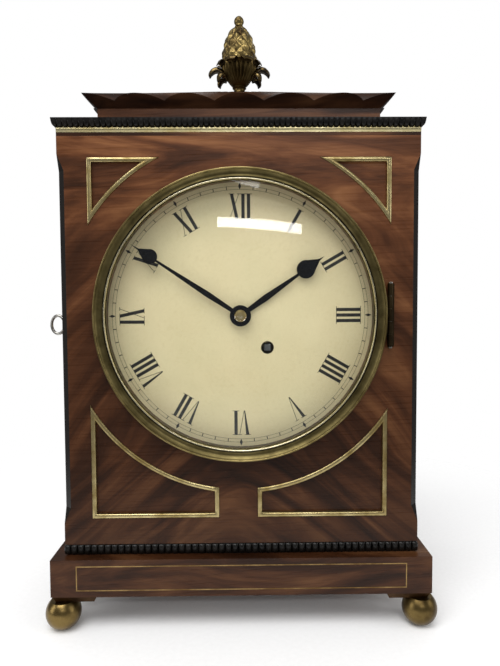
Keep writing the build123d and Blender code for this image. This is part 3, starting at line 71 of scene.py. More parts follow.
# Mesh helpers
def new_piece(name, verts, faces, body, slot, material, smooth=True, sharp=35.0):
    """A mesh piece from millimetre points, riding on a body and taking the given material; slot is not used.
    """
    mesh = bpy.data.meshes.new(name)
    mesh.from_pydata([[c * MM for c in v] for v in verts], [], faces)
    maker = bmesh.new()
    maker.from_mesh(mesh)
    bmesh.ops.remove_doubles(maker, verts=maker.verts, dist=1e-6)
    bmesh.ops.recalc_face_normals(maker, faces=maker.faces)
    maker.to_mesh(mesh)
    maker.free()
    if smooth:
        mesh.shade_smooth()
        mesh.set_sharp_from_angle(angle=math.radians(sharp))
    piece = bpy.data.objects.new(name, mesh)
    bpy.context.scene.collection.objects.link(piece)
    piece.data.materials.append(material)
    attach(piece, body)
    return piece


def grid_faces(rows, columns, wrap_rows=False, wrap_columns=False, first=0):
    """The quads of a grid of points stored row after row."""
    faces = []
    for r in range(rows if wrap_rows else rows - 1):
        for c in range(columns if wrap_columns else columns - 1):
            a = first + r * columns + c
            b = first + r * columns + (c + 1) % columns
            d = first + (r + 1) % rows * columns + c
            e = first + (r + 1) % rows * columns + (c + 1) % columns
            faces.append((a, b, e, d))
    return faces


class Build:
    """Collects points and faces of several closed bodies into one piece."""

    def __init__(self):
        self.verts = []
        self.faces = []

    def add(self, verts, faces):
        first = len(self.verts)
        self.verts.extend(verts)
        self.faces.extend([tuple(first + i for i in face) for face in faces])

    def grid(self, rows, wrap_rows=False, wrap_columns=False, caps=False):
        """A surface from a list of rows of points; caps closes a tube's two ends with fans."""
        count = len(rows[0])
        verts = [p for row in rows for p in row]
        faces = grid_faces(len(rows), count, wrap_rows, wrap_columns)
        if caps:
            faces.append(tuple(range(count)))
            last = (len(rows) - 1) * count
            faces.append(tuple(last + i for i in range(count)))
        self.add(verts, faces)

    def box(self, low, high):
        points = [(x, y, z) for z in (low[2], high[2]) for y in (low[1], high[1]) for x in (low[0], high[0])]
        self.add(points, [(0, 1, 3, 2), (4, 6, 7, 5), (0, 4, 5, 1), (2, 3, 7, 6), (0, 2, 6, 4), (1, 5, 7, 3)])

    def lathe(self, profile, steps, place, closed=False, ripple=None):
        """Turns a profile of (radius, along); place maps (radius, angle, along) to a point."""
        rows = []
        for radius, along in profile:
            row = []
            for n in range(steps):
                angle = 2 * math.pi * n / steps
                extra = ripple(radius, angle, along) if ripple else 0.0
                row.append(place(radius + extra, angle, along))
            rows.append(row)
        self.grid(rows, wrap_rows=closed, wrap_columns=True, caps=not closed)

    def piece(self, name, body, slot, material, replaces=(), **options):
        made = new_piece(name, self.verts, self.faces, body, slot, material, **options)
        if replaces:
            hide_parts(*replaces)
        return made


def upright(x, y):
    """A lathe placer for a vertical axis at x and y."""
    return lambda radius, angle, z: (x + radius * math.cos(angle), y + radius * math.sin(angle), z)


def facing(x, z):
    """A lathe placer for an axis along Y at x and z."""
    return lambda radius, angle, y: (x + radius * math.cos(angle), y, z + radius * math.sin(angle))


def arc(centre, radius, start, end, steps):
    """Points of an arc in degrees."""
    points = []
    for n in range(steps + 1):
        a = math.radians(start + (end - start) * n / steps)
        points.append((centre[0] + radius * math.cos(a), centre[1] + radius * math.sin(a)))
    return points


def blend(a, b, c, d, t):
    """One coordinate of a Catmull-Rom span from b to c."""
    square = (2 * a - 5 * b + 4 * c - d) * t**2
    cube = (3 * b - a - 3 * c + d) * t**3
    return 0.5 * (2 * b + (c - a) * t + square + cube)


def blend_points(points, steps):
    """A smooth curve through the points, with steps samples per span."""
    out = []
    for i in range(len(points) - 1):
        span = (points[max(i - 1, 0)], points[i], points[i + 1], points[min(i + 2, len(points) - 1)])
        for n in range(steps):
            out.append(tuple(blend(*values, n / steps) for values in zip(*span)))
    out.append(tuple(points[-1]))
    return out


# Materials
class Nodes:
    """A material's node tree, with short ways to add and join nodes."""

    def __init__(self, name):
        self.material = bpy.data.materials.new(name)
        self.material.use_nodes = True
        self.tree = self.material.node_tree
        self.tree.nodes.clear()
        self.output = self.tree.nodes.new("ShaderNodeOutputMaterial")

    def add(self, kind, values=None, links=None, **settings):
        node = self.tree.nodes.new(kind)
        for key, value in settings.items():
            setattr(node, key, value)
        for key, value in (values or {}).items():
            node.inputs[key].default_value = value
        for key, source in (links or {}).items():
            self.tree.links.new(source, node.inputs[key])
        return node

    def place(self, rotation=(0, 0, 0), scale=(1, 1, 1), location=(0, 0, 0)):
        """Coordinates in the clock's own frame, turned and stretched."""
        where = self.add("ShaderNodeTexCoord")
        spun = self.add(
            "ShaderNodeMapping",
            {"Rotation": [math.radians(a) for a in rotation], "Location": location},
            {"Vector": where.outputs["Object"]},
        )
        return self.add("ShaderNodeMapping", {"Scale": scale}, {"Vector": spun.outputs[0]}).outputs[0]

    def noise(self, vector, scale, detail=3.0, roughness=0.5, distortion=0.0):
        values = {"Scale": scale, "Detail": detail, "Roughness": roughness, "Distortion": distortion}
        return self.add("ShaderNodeTexNoise", values, {"Vector": vector}).outputs["Fac"]

    def ramp(self, source, stops):
        node = self.add("ShaderNodeValToRGB", links={"Fac": source})
        ramp = node.color_ramp
        while len(ramp.elements) < len(stops):
            ramp.elements.new(0.5)
        for element, (position, colour) in zip(ramp.elements, stops):
            element.position = position
            element.color = (*colour, 1)
        return node.outputs[0]

    def mix(self, factor, a, b, kind="MIX"):
        node = self.add("ShaderNodeMix", data_type="RGBA", blend_type=kind)
        for key, value in ((0, factor), (6, a), (7, b)):
            if isinstance(value, bpy.types.NodeSocket):
                self.tree.links.new(value, node.inputs[key])
            else:
                node.inputs[key].default_value = value if key == 0 else (*value, 1)
        return node.outputs[2]

    def math(self, operation, *values):
        node = self.add("ShaderNodeMath", operation=operation)
        for i, value in enumerate(values):
            if isinstance(value, bpy.types.NodeSocket):
                self.tree.links.new(value, node.inputs[i])
            else:
                node.inputs[i].default_value = value
        return node.outputs[0]

    def spread(self, source, low, high, to_low=0.0, to_high=1.0):
        values = {"From Min": low, "From Max": high, "To Min": to_low, "To Max": to_high}
        return self.add("ShaderNodeMapRange", values, {"Value": source}).outputs[0]

    def bump(self, height, strength, distance, normal=None):
        links = {"Height": height}
        if normal:
            links["Normal"] = normal
        return self.add("ShaderNodeBump", {"Strength": strength, "Distance": distance}, links).outputs[0]

    def rounded(self, radius):
        return self.add("ShaderNodeBevel", {"Radius": radius}, samples=4).outputs[0]

    def shade(self, values, links):
        shader = self.add("ShaderNodeBsdfPrincipled", values, links)
        self.tree.links.new(shader.outputs[0], self.output.inputs[0])
        return self.material


def rgb(r, g, b):
    """A colour written as 8-bit display values, as the linear values that a socket takes."""
    shares = (r / 255, g / 255, b / 255)
    return tuple(s / 12.92 if s <= 0.04045 else ((s + 0.055) / 1.055) ** 2.4 for s in shares)


# Mahogany: places are in metres here, as the nodes read them
flame_low = 0.13
flame_high = 0.33
flame_steep = 0.85
flame_shallow = 0.05
flame_middle = 0.0005
# Heights in metres over which the wood's painted light and shade runs from the foot's level to the top's
painted_light_foot_z = 0.03
painted_light_top_z = 0.37
bands_share = 0.72
broad_share = 0.28
fine_grain = (30, 700, 700)
pore_share = 0.7
pore_dark = (0.80, 0.76, 0.72)
pore_light = (1.04, 1.03, 1.02)
wood_stops = (
    (0.32, (38, 21, 11)),
    (0.43, (62, 35, 19)),
    (0.51, (86, 51, 29)),
    (0.60, (114, 74, 45)),
    (0.72, (144, 102, 68)),
)
cant_colour = (16, 12, 9)
cant_slant = (0.08, 0.2)
gloss_spread = 0.06
wood_edge = 0.0004


def flame_vector(n, split, grain, seed):
    """Coordinates of a figure that falls away to both sides, steeply below and gently above."""
    side = n.math("SQRT", n.math("ADD", n.math("MULTIPLY", split[0], split[0]), flame_middle))
    slope = n.spread(split[2], flame_low, flame_high, flame_steep, flame_shallow)
    height = n.math("ADD", split[2], n.math("MULTIPLY", side, slope))
    across = n.math("ADD", n.math("MULTIPLY", split[0], grain[0]), seed)
    upward = n.math("MULTIPLY", height, grain[2])
    return n.add("ShaderNodeCombineXYZ", links={0: across, 2: upward}).outputs[0]


def mahogany(
    name,
    tilt=(0, 0, 0),
    grain=(4, 26, 26),
    level=(0.62, 0.62),
    seed=0.0,
    flame=False,
    cants=False,
    gloss=0.3,
):
    """Polished mahogany: broad figure across long fine grain, which runs along the turned X axis. level is
    painted light
    and shade: the wood's colour is scaled from its first value at the foot to its second at the top of the
    clock.
    cants darkens the slanting corners."""
    n = Nodes(name)
    split = n.add("ShaderNodeSeparateXYZ", links={0: n.place()}).outputs
    if flame:
        along = flame_vector(n, split, grain, seed)
    else:
        along = n.place(tilt, grain, (seed, seed * 0.7, seed * 1.3))
    cloud = n.place(location=(seed, 0, 0))
    broad = n.noise(cloud, 11.0, detail=3.0, roughness=0.5, distortion=0.6)
    bands = n.noise(along, 1.0, detail=6.0, roughness=0.58, distortion=1.3)
    tone = n.math("ADD", n.math("MULTIPLY", bands, bands_share), n.math("MULTIPLY", broad, broad_share))
    wood = n.ramp(tone, [(at, rgb(*colour)) for at, colour in wood_stops])
    # Painted light and shade: the wood's colour is scaled with height, darker at the foot and lighter at the
    # top
    light = n.spread(split[2], painted_light_foot_z, painted_light_top_z, *level)
    shaded = n.add("ShaderNodeVectorMath", links={0: wood, 1: light}, operation="MULTIPLY").outputs[0]
    fine = n.noise(n.place(tilt, fine_grain, (seed, 0, 0)), 1.0, detail=2.0)
    pores = n.ramp(n.spread(fine, 0.35, 0.62), [(0.0, pore_dark), (1.0, pore_light)])
    colour = n.mix(pore_share, shaded, pores, "MULTIPLY")
    if cants:
        outward = n.add("ShaderNodeNewGeometry").outputs["True Normal"]
        parts = n.add("ShaderNodeSeparateXYZ", links={0: outward}).outputs
        slant = n.math("ABSOLUTE", n.math("MULTIPLY", parts[0], parts[1]))
        colour = n.mix(n.spread(slant, *cant_slant), colour, rgb(*cant_colour))
    normal = n.bump(fine, 0.08, 0.0002, n.rounded(wood_edge))
    rough = n.spread(fine, 0.2, 0.8, gloss - gloss_spread, gloss + gloss_spread)
    links = {"Base Color": colour, "Roughness": rough, "Normal": normal}
    return n.shade({"Specular IOR Level": 0.2}, links)


# Metal: the patina runs from worn to base as the mottling rises between these two values
patina_low = 0.38
patina_high = 0.60
spots_share = 0.55
patches_share = 0.45
patch_size = 0.22
tip_blend = 0.0004
tip_worn = (96, 98, 100)
tip_base = (176, 178, 180)


def metal(name, base, worn, rough=(0.22, 0.42), scale=90.0, edge=0.0002, tip=None):
    """Cast or turned metal with uneven tarnish. tip gives a depth in metres, before which it is steel."""
    n = Nodes(name)
    spots = n.noise(n.place(), scale, detail=4.0, roughness=0.6)
    patches = n.noise(n.place(location=(0.3, 0.1, 0.2)), scale * patch_size, detail=3.0)
    tone = n.math("ADD", n.math("MULTIPLY", spots, spots_share), n.math("MULTIPLY", patches, patches_share))
    colour = n.ramp(tone, [(patina_low, worn), (patina_high, base)])
    if tip is not None:
        depth = n.add("ShaderNodeSeparateXYZ", links={0: n.place()}).outputs[1]
        steel_tone = n.ramp(tone, [(patina_low, rgb(*tip_worn)), (patina_high, rgb(*tip_base))])
        colour = n.mix(n.spread(depth, tip - tip_blend, tip), steel_tone, colour)
    roughness = n.spread(tone, 0.35, 0.65, rough[1], rough[0])
    normal = n.bump(spots, 0.10, 0.0001, n.rounded(edge))
    return n.shade({"Metallic": 1.0}, {"Base Color": colour, "Roughness": roughness, "Normal": normal})


def ebonised(name):
    n = Nodes(name)
    spots = n.noise(n.place(), 160.0, 3.0)
    colour = n.ramp(spots, [(0.35, rgb(8, 7, 6)), (0.65, rgb(20, 17, 14))])
    rough = n.spread(spots, 0.3, 0.7, 0.24, 0.42)
    normal = n.bump(spots, 0.15, 0.0001)
    return n.shade({"Specular IOR Level": 0.3}, {"Base Color": colour, "Roughness": rough, "Normal": normal})


def painted_dial(name):
    n = Nodes(name)
    clouds = n.noise(n.place(), 14.0, 4.0, 0.6)
    specks = n.noise(n.place(), 500.0, 2.0)
    base = n.ramp(clouds, [(0.35, rgb(222, 205, 160)), (0.68, rgb(230, 214, 170))])
    colour = n.mix(0.10, base, n.ramp(specks, [(0.3, rgb(190, 170, 130)), (0.5, rgb(240, 230, 200))]))
    normal = n.bump(clouds, 0.05, 0.0004)
    rough = n.spread(clouds, 0.3, 0.7, 0.38, 0.5)
    return n.shade({}, {"Base Color": colour, "Roughness": rough, "Normal": normal})


def ink(name):
    n = Nodes(name)
    wear = n.noise(n.place(), 260.0, 3.0)
    colour = n.ramp(wear, [(0.30, rgb(46, 42, 36)), (0.5, rgb(24, 22, 20))])
    rough = n.spread(wear, 0.3, 0.7, 0.45, 0.6)
    return n.shade({}, {"Base Color": colour, "Roughness": rough})


mirror_fall = 5.0
mirror_least = 0.03


def clear_glass(name):
    """Glass that mirrors more the flatter it is looked along, and lets the rest straight through."""
    n = Nodes(name)
    smear = n.noise(n.place(), 22.0, 3.0)
    colour = n.ramp(smear, [(0.3, (0.96, 0.975, 0.965)), (0.7, (0.985, 0.99, 0.985))])
    through = n.add("ShaderNodeBsdfTransparent", links={"Color": colour})
    rough = n.spread(smear, 0.3, 0.8, 0.0, 0.05)
    mirror = n.add("ShaderNodeBsdfGlossy", links={"Roughness": rough})
    edge = n.add("ShaderNodeLayerWeight", {"Blend": 0.5}).outputs["Facing"]
    share = n.spread(n.math("POWER", edge, mirror_fall), 0.0, 1.0, mirror_least, 1.0)
    mixed = n.add("ShaderNodeMixShader", links={0: share, 1: through.outputs[0], 2: mirror.outputs[0]})
    n.tree.links.new(mixed.outputs[0], n.output.inputs[0])
    return n.material


# The level pairs are painted light and shade: the front and sides run from dark at the foot to light at the
# top, and the other woods are scaled by one even level
wood_front = mahogany("wood_front", (0, 2, 0), (7, 26, 34), (0.32, 1.35), 0.31, flame=True, cants=True)
wood_side = mahogany("wood_side", (0, 84, 0), (4, 26, 26), (0.45, 1.0), 0.77, cants=True)
wood_base = mahogany("wood_base", (0, 4, 0), (9, 24, 40), (0.5, 0.5), 1.9)
wood_top = mahogany("wood_top", (0, 2, 0), (5, 30, 50), (0.9, 0.9), 2.6)
wood_pad = mahogany("wood_pad", (0, 5, 0), (7, 30, 30), (0.42, 0.42), 3.3, gloss=0.55)
wood_inside = mahogany("wood_inside", (0, 0, 0), (4, 30, 30), (0.7, 0.7), 4.1)
black_wood = ebonised("black_wood")
aged = metal("aged_brass", rgb(206, 190, 140), rgb(146, 126, 78))
strip_brass = metal("strip_brass", rgb(226, 214, 168), rgb(186, 170, 118), rough=(0.3, 0.45))
line_brass = metal("line_brass", rgb(176, 148, 98), rgb(120, 94, 56), rough=(0.5, 0.65))
foot_brass = metal("foot_brass", rgb(128, 108, 66), rgb(70, 56, 32), scale=60.0)
gilt = metal("gilt_brass", rgb(176, 154, 98), rgb(66, 50, 30), rough=(0.3, 0.5), scale=300.0)
dark_bronze = metal("dark_bronze", rgb(132, 112, 72), rgb(50, 40, 26), scale=200.0)
foot_bronze = metal("foot_bronze", rgb(84, 62, 40), rgb(50, 34, 22), rough=(0.4, 0.6))
bezel_bronze = metal("bezel_bronze", rgb(118, 106, 68), rgb(76, 67, 40), rough=(0.34, 0.46))
rim_bronze = metal("rim_bronze", rgb(158, 142, 94), rgb(104, 90, 54), rough=(0.25, 0.4))
hinge_bronze = metal("hinge_bronze", rgb(74, 62, 42), rgb(44, 36, 24), rough=(0.35, 0.5))
bright = metal("bright_brass", rgb(226, 208, 150), rgb(186, 162, 104), rough=(0.2, 0.34))
sight_silver = metal("sight_brass", rgb(228, 220, 190), rgb(196, 186, 150), rough=(0.16, 0.28))
# Painted shade: the front plate's brass is coloured darker for the shade inside the case behind the dial
plate_brass_painted_shade = metal("plate_brass_painted_shade", rgb(110, 92, 56), rgb(72, 58, 34), rough=(0.4, 0.5))
steel = metal("steel", rgb(200, 198, 192), rgb(150, 146, 138), rough=(0.16, 0.3))
blued = metal("blued_steel", rgb(34, 36, 44), rgb(22, 21, 22), rough=(0.25, 0.4), scale=300.0)
dial_paint = painted_dial("dial_paint")
dial_ink = ink("dial_ink")
glass = clear_glass("clear_glass")

plate_front_y = corners("front_plate")[0][1]
fusee_brass = metal("fusee_brass", rgb(222, 204, 146), rgb(180, 156, 100), tip=plate_front_y * MM)
finishes = {
    "case_front": wood_front,
    "side_left": wood_side,
    "side_right": wood_side,
    "frieze": wood_top,
    "base_plinth": wood_base,
    "base_board": wood_inside,
    "cornice_board": wood_inside,
    "top_plinth": wood_top,
    "back_frame": wood_side,
    "back_door_frame": wood_side,
    "seat_board": wood_inside,
    "seat_bearers": wood_inside,
    "foot_plates": foot_bronze,
    "base_inlay": line_brass,
    "key_escutcheon": aged,
    "back_door_knob": aged,
    "door_hinges": aged,
    "case_hinge_leaf": hinge_bronze,
    "bezel_hinge_leaf": hinge_bronze,
    "dial_plate": dial_paint,
    "bezel_glass": glass,
    "back_door_glass": glass,
    "hour_hand": blued,
    "minute_hand": blued,
    # The front plate takes the darker brass, as painted shade
    "front_plate": plate_brass_painted_shade,
    "fusee": fusee_brass,
}
for bright_node in (
    "hand_collet back_plate pillars centre_wheel cannon_pinion minute_wheel hour_wheel third_wheel "
    "escape_wheel great_wheel barrel back_cock pendulum_bob rating_nut lock_case"
).split():
    finishes[bright_node] = bright
for steel_node in "finial_rod lock_bolt bezel_hinge_pin barrel_arbor anchor pendulum_rod".split():
    finishes[steel_node] = steel
for node_name, finish in finishes.items():
    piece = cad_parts[node_name]
    piece.data.materials.clear()
    piece.data.materials.append(finish)

# Gadrooned pad: a flared edge, scalloped along its top, and ridges running up to the crown
pad_low, pad_high = corners("gadrooned_top")
plinth_high = corners("top_plinth")[1]
pad_edge_tall = 8.5
pad_edge_z = pad_low[2] + pad_edge_tall
pad_crown_half = (17.0, 12.0)
pad_inner_share = 0.5
pad_levels = 14
pad_curve = 1.1
valley_deep = 4.2
valley_kept = 0.12
valley_fade = 0.8
valley_pull_fade = 3
lobes_wide = 6
lobes_deep = 3
lobe_steps = 22
lobe_power = 2.1


def lobe(share, count):
    """How high an arched lobe stands at a share of a side, from 0 in a valley to 1 on a ridge."""
    across = (share * count + 0.5) % 1.0 * 2 - 1
    return 1 - abs(across) ** lobe_power


def gadrooned_pad():
    build = Build()
    half = (pad_high[0], pad_high[1])
    foot = (plinth_high[0], plinth_high[1])
    flare = half[0] - foot[0]
    edge_tall = pad_edge_z - pad_low[2]
    sides = []
    four_sides = ((lobes_wide, 0, 1), (lobes_deep, 1, 1), (lobes_wide, 0, -1), (lobes_deep, 1, -1))
    for count, axis, sign in four_sides:
        steps = count * lobe_steps
        for n in range(steps):
            sides.append((n / steps, count, axis, sign))
    around = []
    for share, count, axis, sign in sides:
        u = (2 * share - 1) * sign
        edge = (u, -sign) if axis == 0 else (sign, u)
        around.append((edge, 1 - lobe(share, count)))
    inner = pad_inner_share
    rows = [[(e[0] * foot[0] * inner, e[1] * foot[1] * inner, pad_low[2]) for e, _ in around]]
    rows.append([(e[0] * foot[0], e[1] * foot[1], pad_low[2]) for e, _ in around])
    for share in (0.5, 1.0):
        row = []
        for e, dip in around:
            up = (edge_tall - valley_deep * dip) * share
            out = flare * up / edge_tall
            row.append((e[0] * (foot[0] + out), e[1] * (foot[1] + out), pad_low[2] + up))
        rows.append(row)
    for level in range(1, pad_levels + 1):
        t = level / pad_levels
        rise = (pad_high[2] - pad_edge_z) * t**pad_curve
        row = []
        for e, dip in around:
            fade = (1 - t) ** valley_fade
            drop = valley_deep * dip * (valley_kept + (1 - valley_kept) * fade)
            out_x = half[0] + (pad_crown_half[0] - half[0]) * t
            out_y = half[1] + (pad_crown_half[1] - half[1]) * t
            pull = flare * valley_deep * dip / edge_tall * (1 - t) ** valley_pull_fade
            row.append((e[0] * (out_x - pull), e[1] * (out_y - pull), pad_edge_z + rise - drop))
        rows.append(row)
    build.grid(rows, wrap_columns=True, caps=True)
    return build.piece("pad_gadroons", "case", "mahogany", wood_pad, ["gadrooned_top"], sharp=40)


gadrooned_pad()


# Runs of reeds or beads round the front and two ends of the case
bead_samples = 8
reed_counts = (69, 38)
bead_counts = (53, 31)


def moulded_run(name, node, counts, profile):
    """An ebonised moulding on three sides. counts are the beads on the front and on an end; profile gives,
    for a place across one bead (-1 to 1), a list of (height share, how far in from the node's outer face)."""
    low, high = corners(node)
    points = []
    length_x = high[0] - low[0]
    length_y = high[1] - low[1]

    def side(count, at, normal):
        for n in range(count * bead_samples + 1):
            share = n / (count * bead_samples)
            across = (n % bead_samples) / bead_samples * 2 - 1
            points.append((at(share), normal, across))

    side(counts[1], lambda s: (low[0], high[1] - s * length_y), (-1, 0))
    side(counts[0], lambda s: (low[0] + s * length_x, low[1]), (0, -1))
    side(counts[1], lambda s: (high[0], low[1] + s * length_y), (1, 0))
    rows = []
    for (x, y), normal, across in points:
        row = []
        for tall, deep in profile(across):
            z = low[2] + tall * (high[2] - low[2])
            if normal[0]:
                px = x - normal[0] * deep
                py = max(y, low[1] + deep)
            else:
                py = y + deep
                px = max(low[0] + deep, min(high[0] - deep, x))
            row.append((px, py, z))
        rows.append(row)
    build = Build()
    build.grid(rows, wrap_columns=True, caps=True)
    return build.piece(name, "case", "ebonised_wood", black_wood, [node], sharp=50)


cornice_deep = 12.0
cornice_over = 3.0
cornice_step = 1.6
reed_deep = 0.75
reed_foot = 0.02
reed_arch = 0.2
reed_head = 0.74
reed_steps = 8


def cornice_profile(across):
    """A reeded ovolo: full at the top, drawn in at the foot, with rounded reeds."""
    bulge = math.sqrt(max(0.0, 1 - across**2))
    foot = reed_foot + reed_arch * (1 - bulge)
    step = cornice_over + cornice_step
    row = [(0.0, cornice_deep), (0.0, step), (foot, step), (foot, cornice_over + 0.2)]
    for n in range(reed_steps + 1):
        t = n / reed_steps
        inward = cornice_over * (1 - math.sqrt(max(0.0, 1 - (1 - t) ** 2)))
        reed = reed_deep * (1 - bulge) * min(1.0, 0.35 + 1.4 * (1 - t))
        row.append((foot + (reed_head - foot) * t, inward + reed))
    row.append((0.80, reed_deep * 0.25 * (1 - bulge)))
    row.append((0.86, 0.0))
    row.append((1.0, 0.0))
    row.append((1.0, cornice_deep))
    return row


moulded_run("cornice_reeds", "cornice_moulding", reed_counts, cornice_profile)

# A thin brass fillet that shows between the reeds' lower ends
reeds_low, reeds_high = corners("cornice_moulding")
fillet_thick = 0.6
fillet_tall = 1.6
behind = cornice_over + 0.9
fillet = Build()
fillet.box(
    (reeds_low[0] + behind, reeds_low[1] + behind, reeds_low[2]),
    (reeds_high[0] - behind, reeds_low[1] + behind + fillet_thick, reeds_low[2] + fillet_tall),
)
fillet.piece("reed_fillet", "case", "aged_brass", aged)


bead_deep = 6.0
bead_seat = 2.4
bead_bulge = 2.35
bead_half_share = 0.47
bead_power = 0.7
bead_steps = 10


def bead_profile(across):
    """Upright oval beads between two plain edges."""
    row = [(0.0, bead_deep), (0.0, bead_seat)]
    for n in range(bead_steps + 1):
        t = -1 + 2 * n / bead_steps
        bulge = math.sqrt(max(0.0, 1 - across**2)) * math.sqrt(max(0.0, 1 - t**2)) ** bead_power
        row.append((0.5 + bead_half_share * t, bead_seat - bead_bulge * bulge))
    row.append((1.0, bead_seat))
    row.append((1.0, bead_deep))
    return row


moulded_run("base_beads", "bead_moulding", bead_counts, bead_profile)


# Brass strip under the cornice: a bead over a sunk fillet, as (depth, share of the height)
strip_low, strip_high = corners("brass_strip")
strip_tall = strip_high[2] - strip_low[2]
strip_front_y = strip_low[1]
strip_back_y = strip_high[1]
strip_sunk = 0.35
strip_step = 0.42
strip_bead_deep = 0.5
strip_bead_from = 0.45
strip_section = [
    (strip_back_y, 0.0),
    (strip_front_y + strip_sunk, 0.0),
    (strip_front_y + strip_sunk, strip_step),
]
for n in range(1, 8):
    bead_y = strip_front_y + strip_bead_deep - strip_bead_deep * math.sin(math.pi * n / 8)
    strip_section.append((bead_y, strip_bead_from + (1 - strip_bead_from) * n / 8))
strip_section.append((strip_back_y, 1.0))
strip = Build()
strip_rows = []
for x in (strip_low[0], strip_high[0]):
    strip_rows.append([(x, y, strip_low[2] + share * strip_tall) for y, share in strip_section])
strip.grid(strip_rows, wrap_columns=True, caps=True)
strip.piece("strip_bead", "case", "aged_brass", strip_brass, ["brass_strip"], sharp=30)

# Brass frames of the corner panels: rounded bars, mitred at their corners
frame_bar = 3.4
frame_tall = 3.5
frame_shoulder = 2.6
frame_arc_gap = 22.5
frame_arc = bezel_radius + frame_arc_gap
panel_sunk = 2.5
panel_back_y = front_y + panel_sunk
frame_arc_steps = 26
frame_end_steps = 6
frame_side_steps = 10
upper_low, upper_high = corners("panel_frames_upper")
lower_low, lower_high = corners("panel_frames_lower")
left_rail_end = 16.9
right_rail_end = 12.2


def panel_loop(side, corner_x, corner_z, low_end, inset):
    """A corner panel's outline drawn in by inset, as evenly matched points."""
    radius = frame_arc + inset
    x_out = corner_x - inset
    turn = 1 if corner_z > dial_z else -1
    z_out = corner_z - turn * inset
    rise = abs(z_out - dial_z)
    top_x = math.sqrt(max(0.0, radius**2 - rise**2)) if rise < radius else 0.0
    end_x = max(top_x, low_end + inset) if low_end else top_x
    end_z = dial_z + turn * math.sqrt(radius**2 - end_x**2)
    side_z = dial_z + turn * math.sqrt(radius**2 - x_out**2)
    points = []

    def line(a, b, count):
        for n in range(count):
            points.append((a[0] + (b[0] - a[0]) * n / count, a[1] + (b[1] - a[1]) * n / count))

    if low_end:
        line((end_x, end_z), (end_x, z_out), frame_end_steps)
    line((end_x, z_out), (x_out, z_out), frame_side_steps)
    line((x_out, z_out), (x_out, side_z), frame_side_steps)
    start = math.atan2(side_z - dial_z, x_out)
    end = math.atan2(end_z - dial_z, end_x)
    for n in range(frame_arc_steps):
        a = start + (end - start) * n / frame_arc_steps
        points.append((radius * math.cos(a), dial_z + radius * math.sin(a)))
    return [(side * x, z) for x, z in points]


def panel_frames(name, node, corner_z, outlines):
    """Both frames of one level; outlines gives each side's corner and how far its rail runs in."""
    build = Build()
    section = [(0.0, 0.0), (0.0, frame_shoulder)]
    for n in range(1, 8):
        a = math.pi * n / 8
        tall = frame_shoulder + (frame_tall - frame_shoulder) * math.sin(a)
        section.append((frame_bar / 2 - frame_bar / 2 * math.cos(a), tall))
    section += [(frame_bar, frame_shoulder), (frame_bar, 0.0)]
    for side, corner_x, low_end in outlines:
        rows = []
        for inset, tall in section:
            loop = panel_loop(side, corner_x, corner_z, low_end, inset)
            rows.append([(x, panel_back_y - tall, z) for x, z in loop])
        build.grid(rows, wrap_rows=True, wrap_columns=True)
    return build.piece(name, "case", "aged_brass", aged, [node], sharp=32)


upper_sides = [(-1, -upper_low[0], 0), (1, upper_high[0], 0)]
panel_frames("upper_frames", "panel_frames_upper", upper_high[2], upper_sides)
lower_sides = [(-1, -lower_low[0], left_rail_end), (1, lower_high[0], right_rail_end)]
panel_frames("lower_frames", "panel_frames_lower", lower_low[2], lower_sides)

# Bezel: bright rim, hollow moulding, and a bright ring next to the glass. Sections are (radius, depth).
sight_radius = 100.0
bezel_front_y = bezel_low[1]
ring_back_y = front_y - 0.1
bezel_steps = 288
ring_inset = 0.2
rim_wide = 1.5
rim_step_y = bezel_front_y + 1.4
rim_round = 0.7
rim_back_y = bezel_front_y + 4.0
hollow_wide = 4.9
hollow_deep = 0.9
hollow_fall = 1.6
hollow_start_y = bezel_front_y + 1.2
hollow_end_y = bezel_front_y + 3.0
hollow_power = 0.8
hollow_steps = 12
sight_seat_radius = 102.05
glass_seat_y = ring_back_y - 1.0
glass_lip_radius = 101.3
glass_lip_y = ring_back_y + 2.0


def lathe_piece(name, section, body, slot, material, node=None):
    build = Build()
    build.lathe(section, bezel_steps, facing(0, dial_z), closed=True)
    return build.piece(name, body, slot, material, [node] if node else (), sharp=38)


hollow = [(bezel_radius - rim_wide, hollow_start_y)]
for n in range(1, hollow_steps):
    t = n / hollow_steps
    sag = hollow_deep * math.sin(math.pi * t) ** hollow_power
    hollow.append((bezel_radius - rim_wide - hollow_wide * t, hollow_start_y + sag + hollow_fall * t))
ring_section = [(bezel_radius - ring_inset, ring_back_y), (bezel_radius - ring_inset, rim_step_y)] + hollow
ring_section += [(sight_seat_radius, hollow_end_y), (sight_seat_radius, glass_seat_y)]
ring_section += [(sight_radius, glass_seat_y), (sight_radius, glass_lip_y)]
ring_section += [(glass_lip_radius, glass_lip_y), (glass_lip_radius, ring_back_y)]
bezel_build = Build()
bezel_build.lathe(ring_section, bezel_steps, facing(0, dial_z), closed=True)

# The catch behind the ring, which the lock bolt holds: its two lips as heights from its middle
catch_half = 1
catch_inset = 1.3
catch_drop = 0.8
catch_long = 26.0
catch_lips = ((-4.0, -3.3), (0.8, 4.0))
catch_x = -(bezel_radius - catch_inset)
catch_z = dial_z - catch_drop
for lip_low, lip_high in catch_lips:
    bezel_build.box(
        (catch_x - catch_half, glass_seat_y, catch_z + lip_low),
        (catch_x + catch_half, ring_back_y + catch_long, catch_z + lip_high),
    )
bezel_build.piece("bezel_hollow", "bezel", "bezel_bronze", bezel_bronze, ["bezel_ring"], sharp=38)

rim_groove = 1.2
rim_groove_y = bezel_front_y + 2.2
rim_section = [(bezel_radius, rim_back_y), (bezel_radius, bezel_front_y + rim_round)]
rim_section += arc((bezel_radius - rim_round, bezel_front_y + rim_round), rim_round, 0, -180, 10)
rim_section += [(bezel_radius - 2 * rim_round, rim_groove_y), (bezel_radius - rim_groove, rim_back_y)]
lathe_piece("bezel_rim", rim_section, "bezel", "bezel_bronze", rim_bronze)

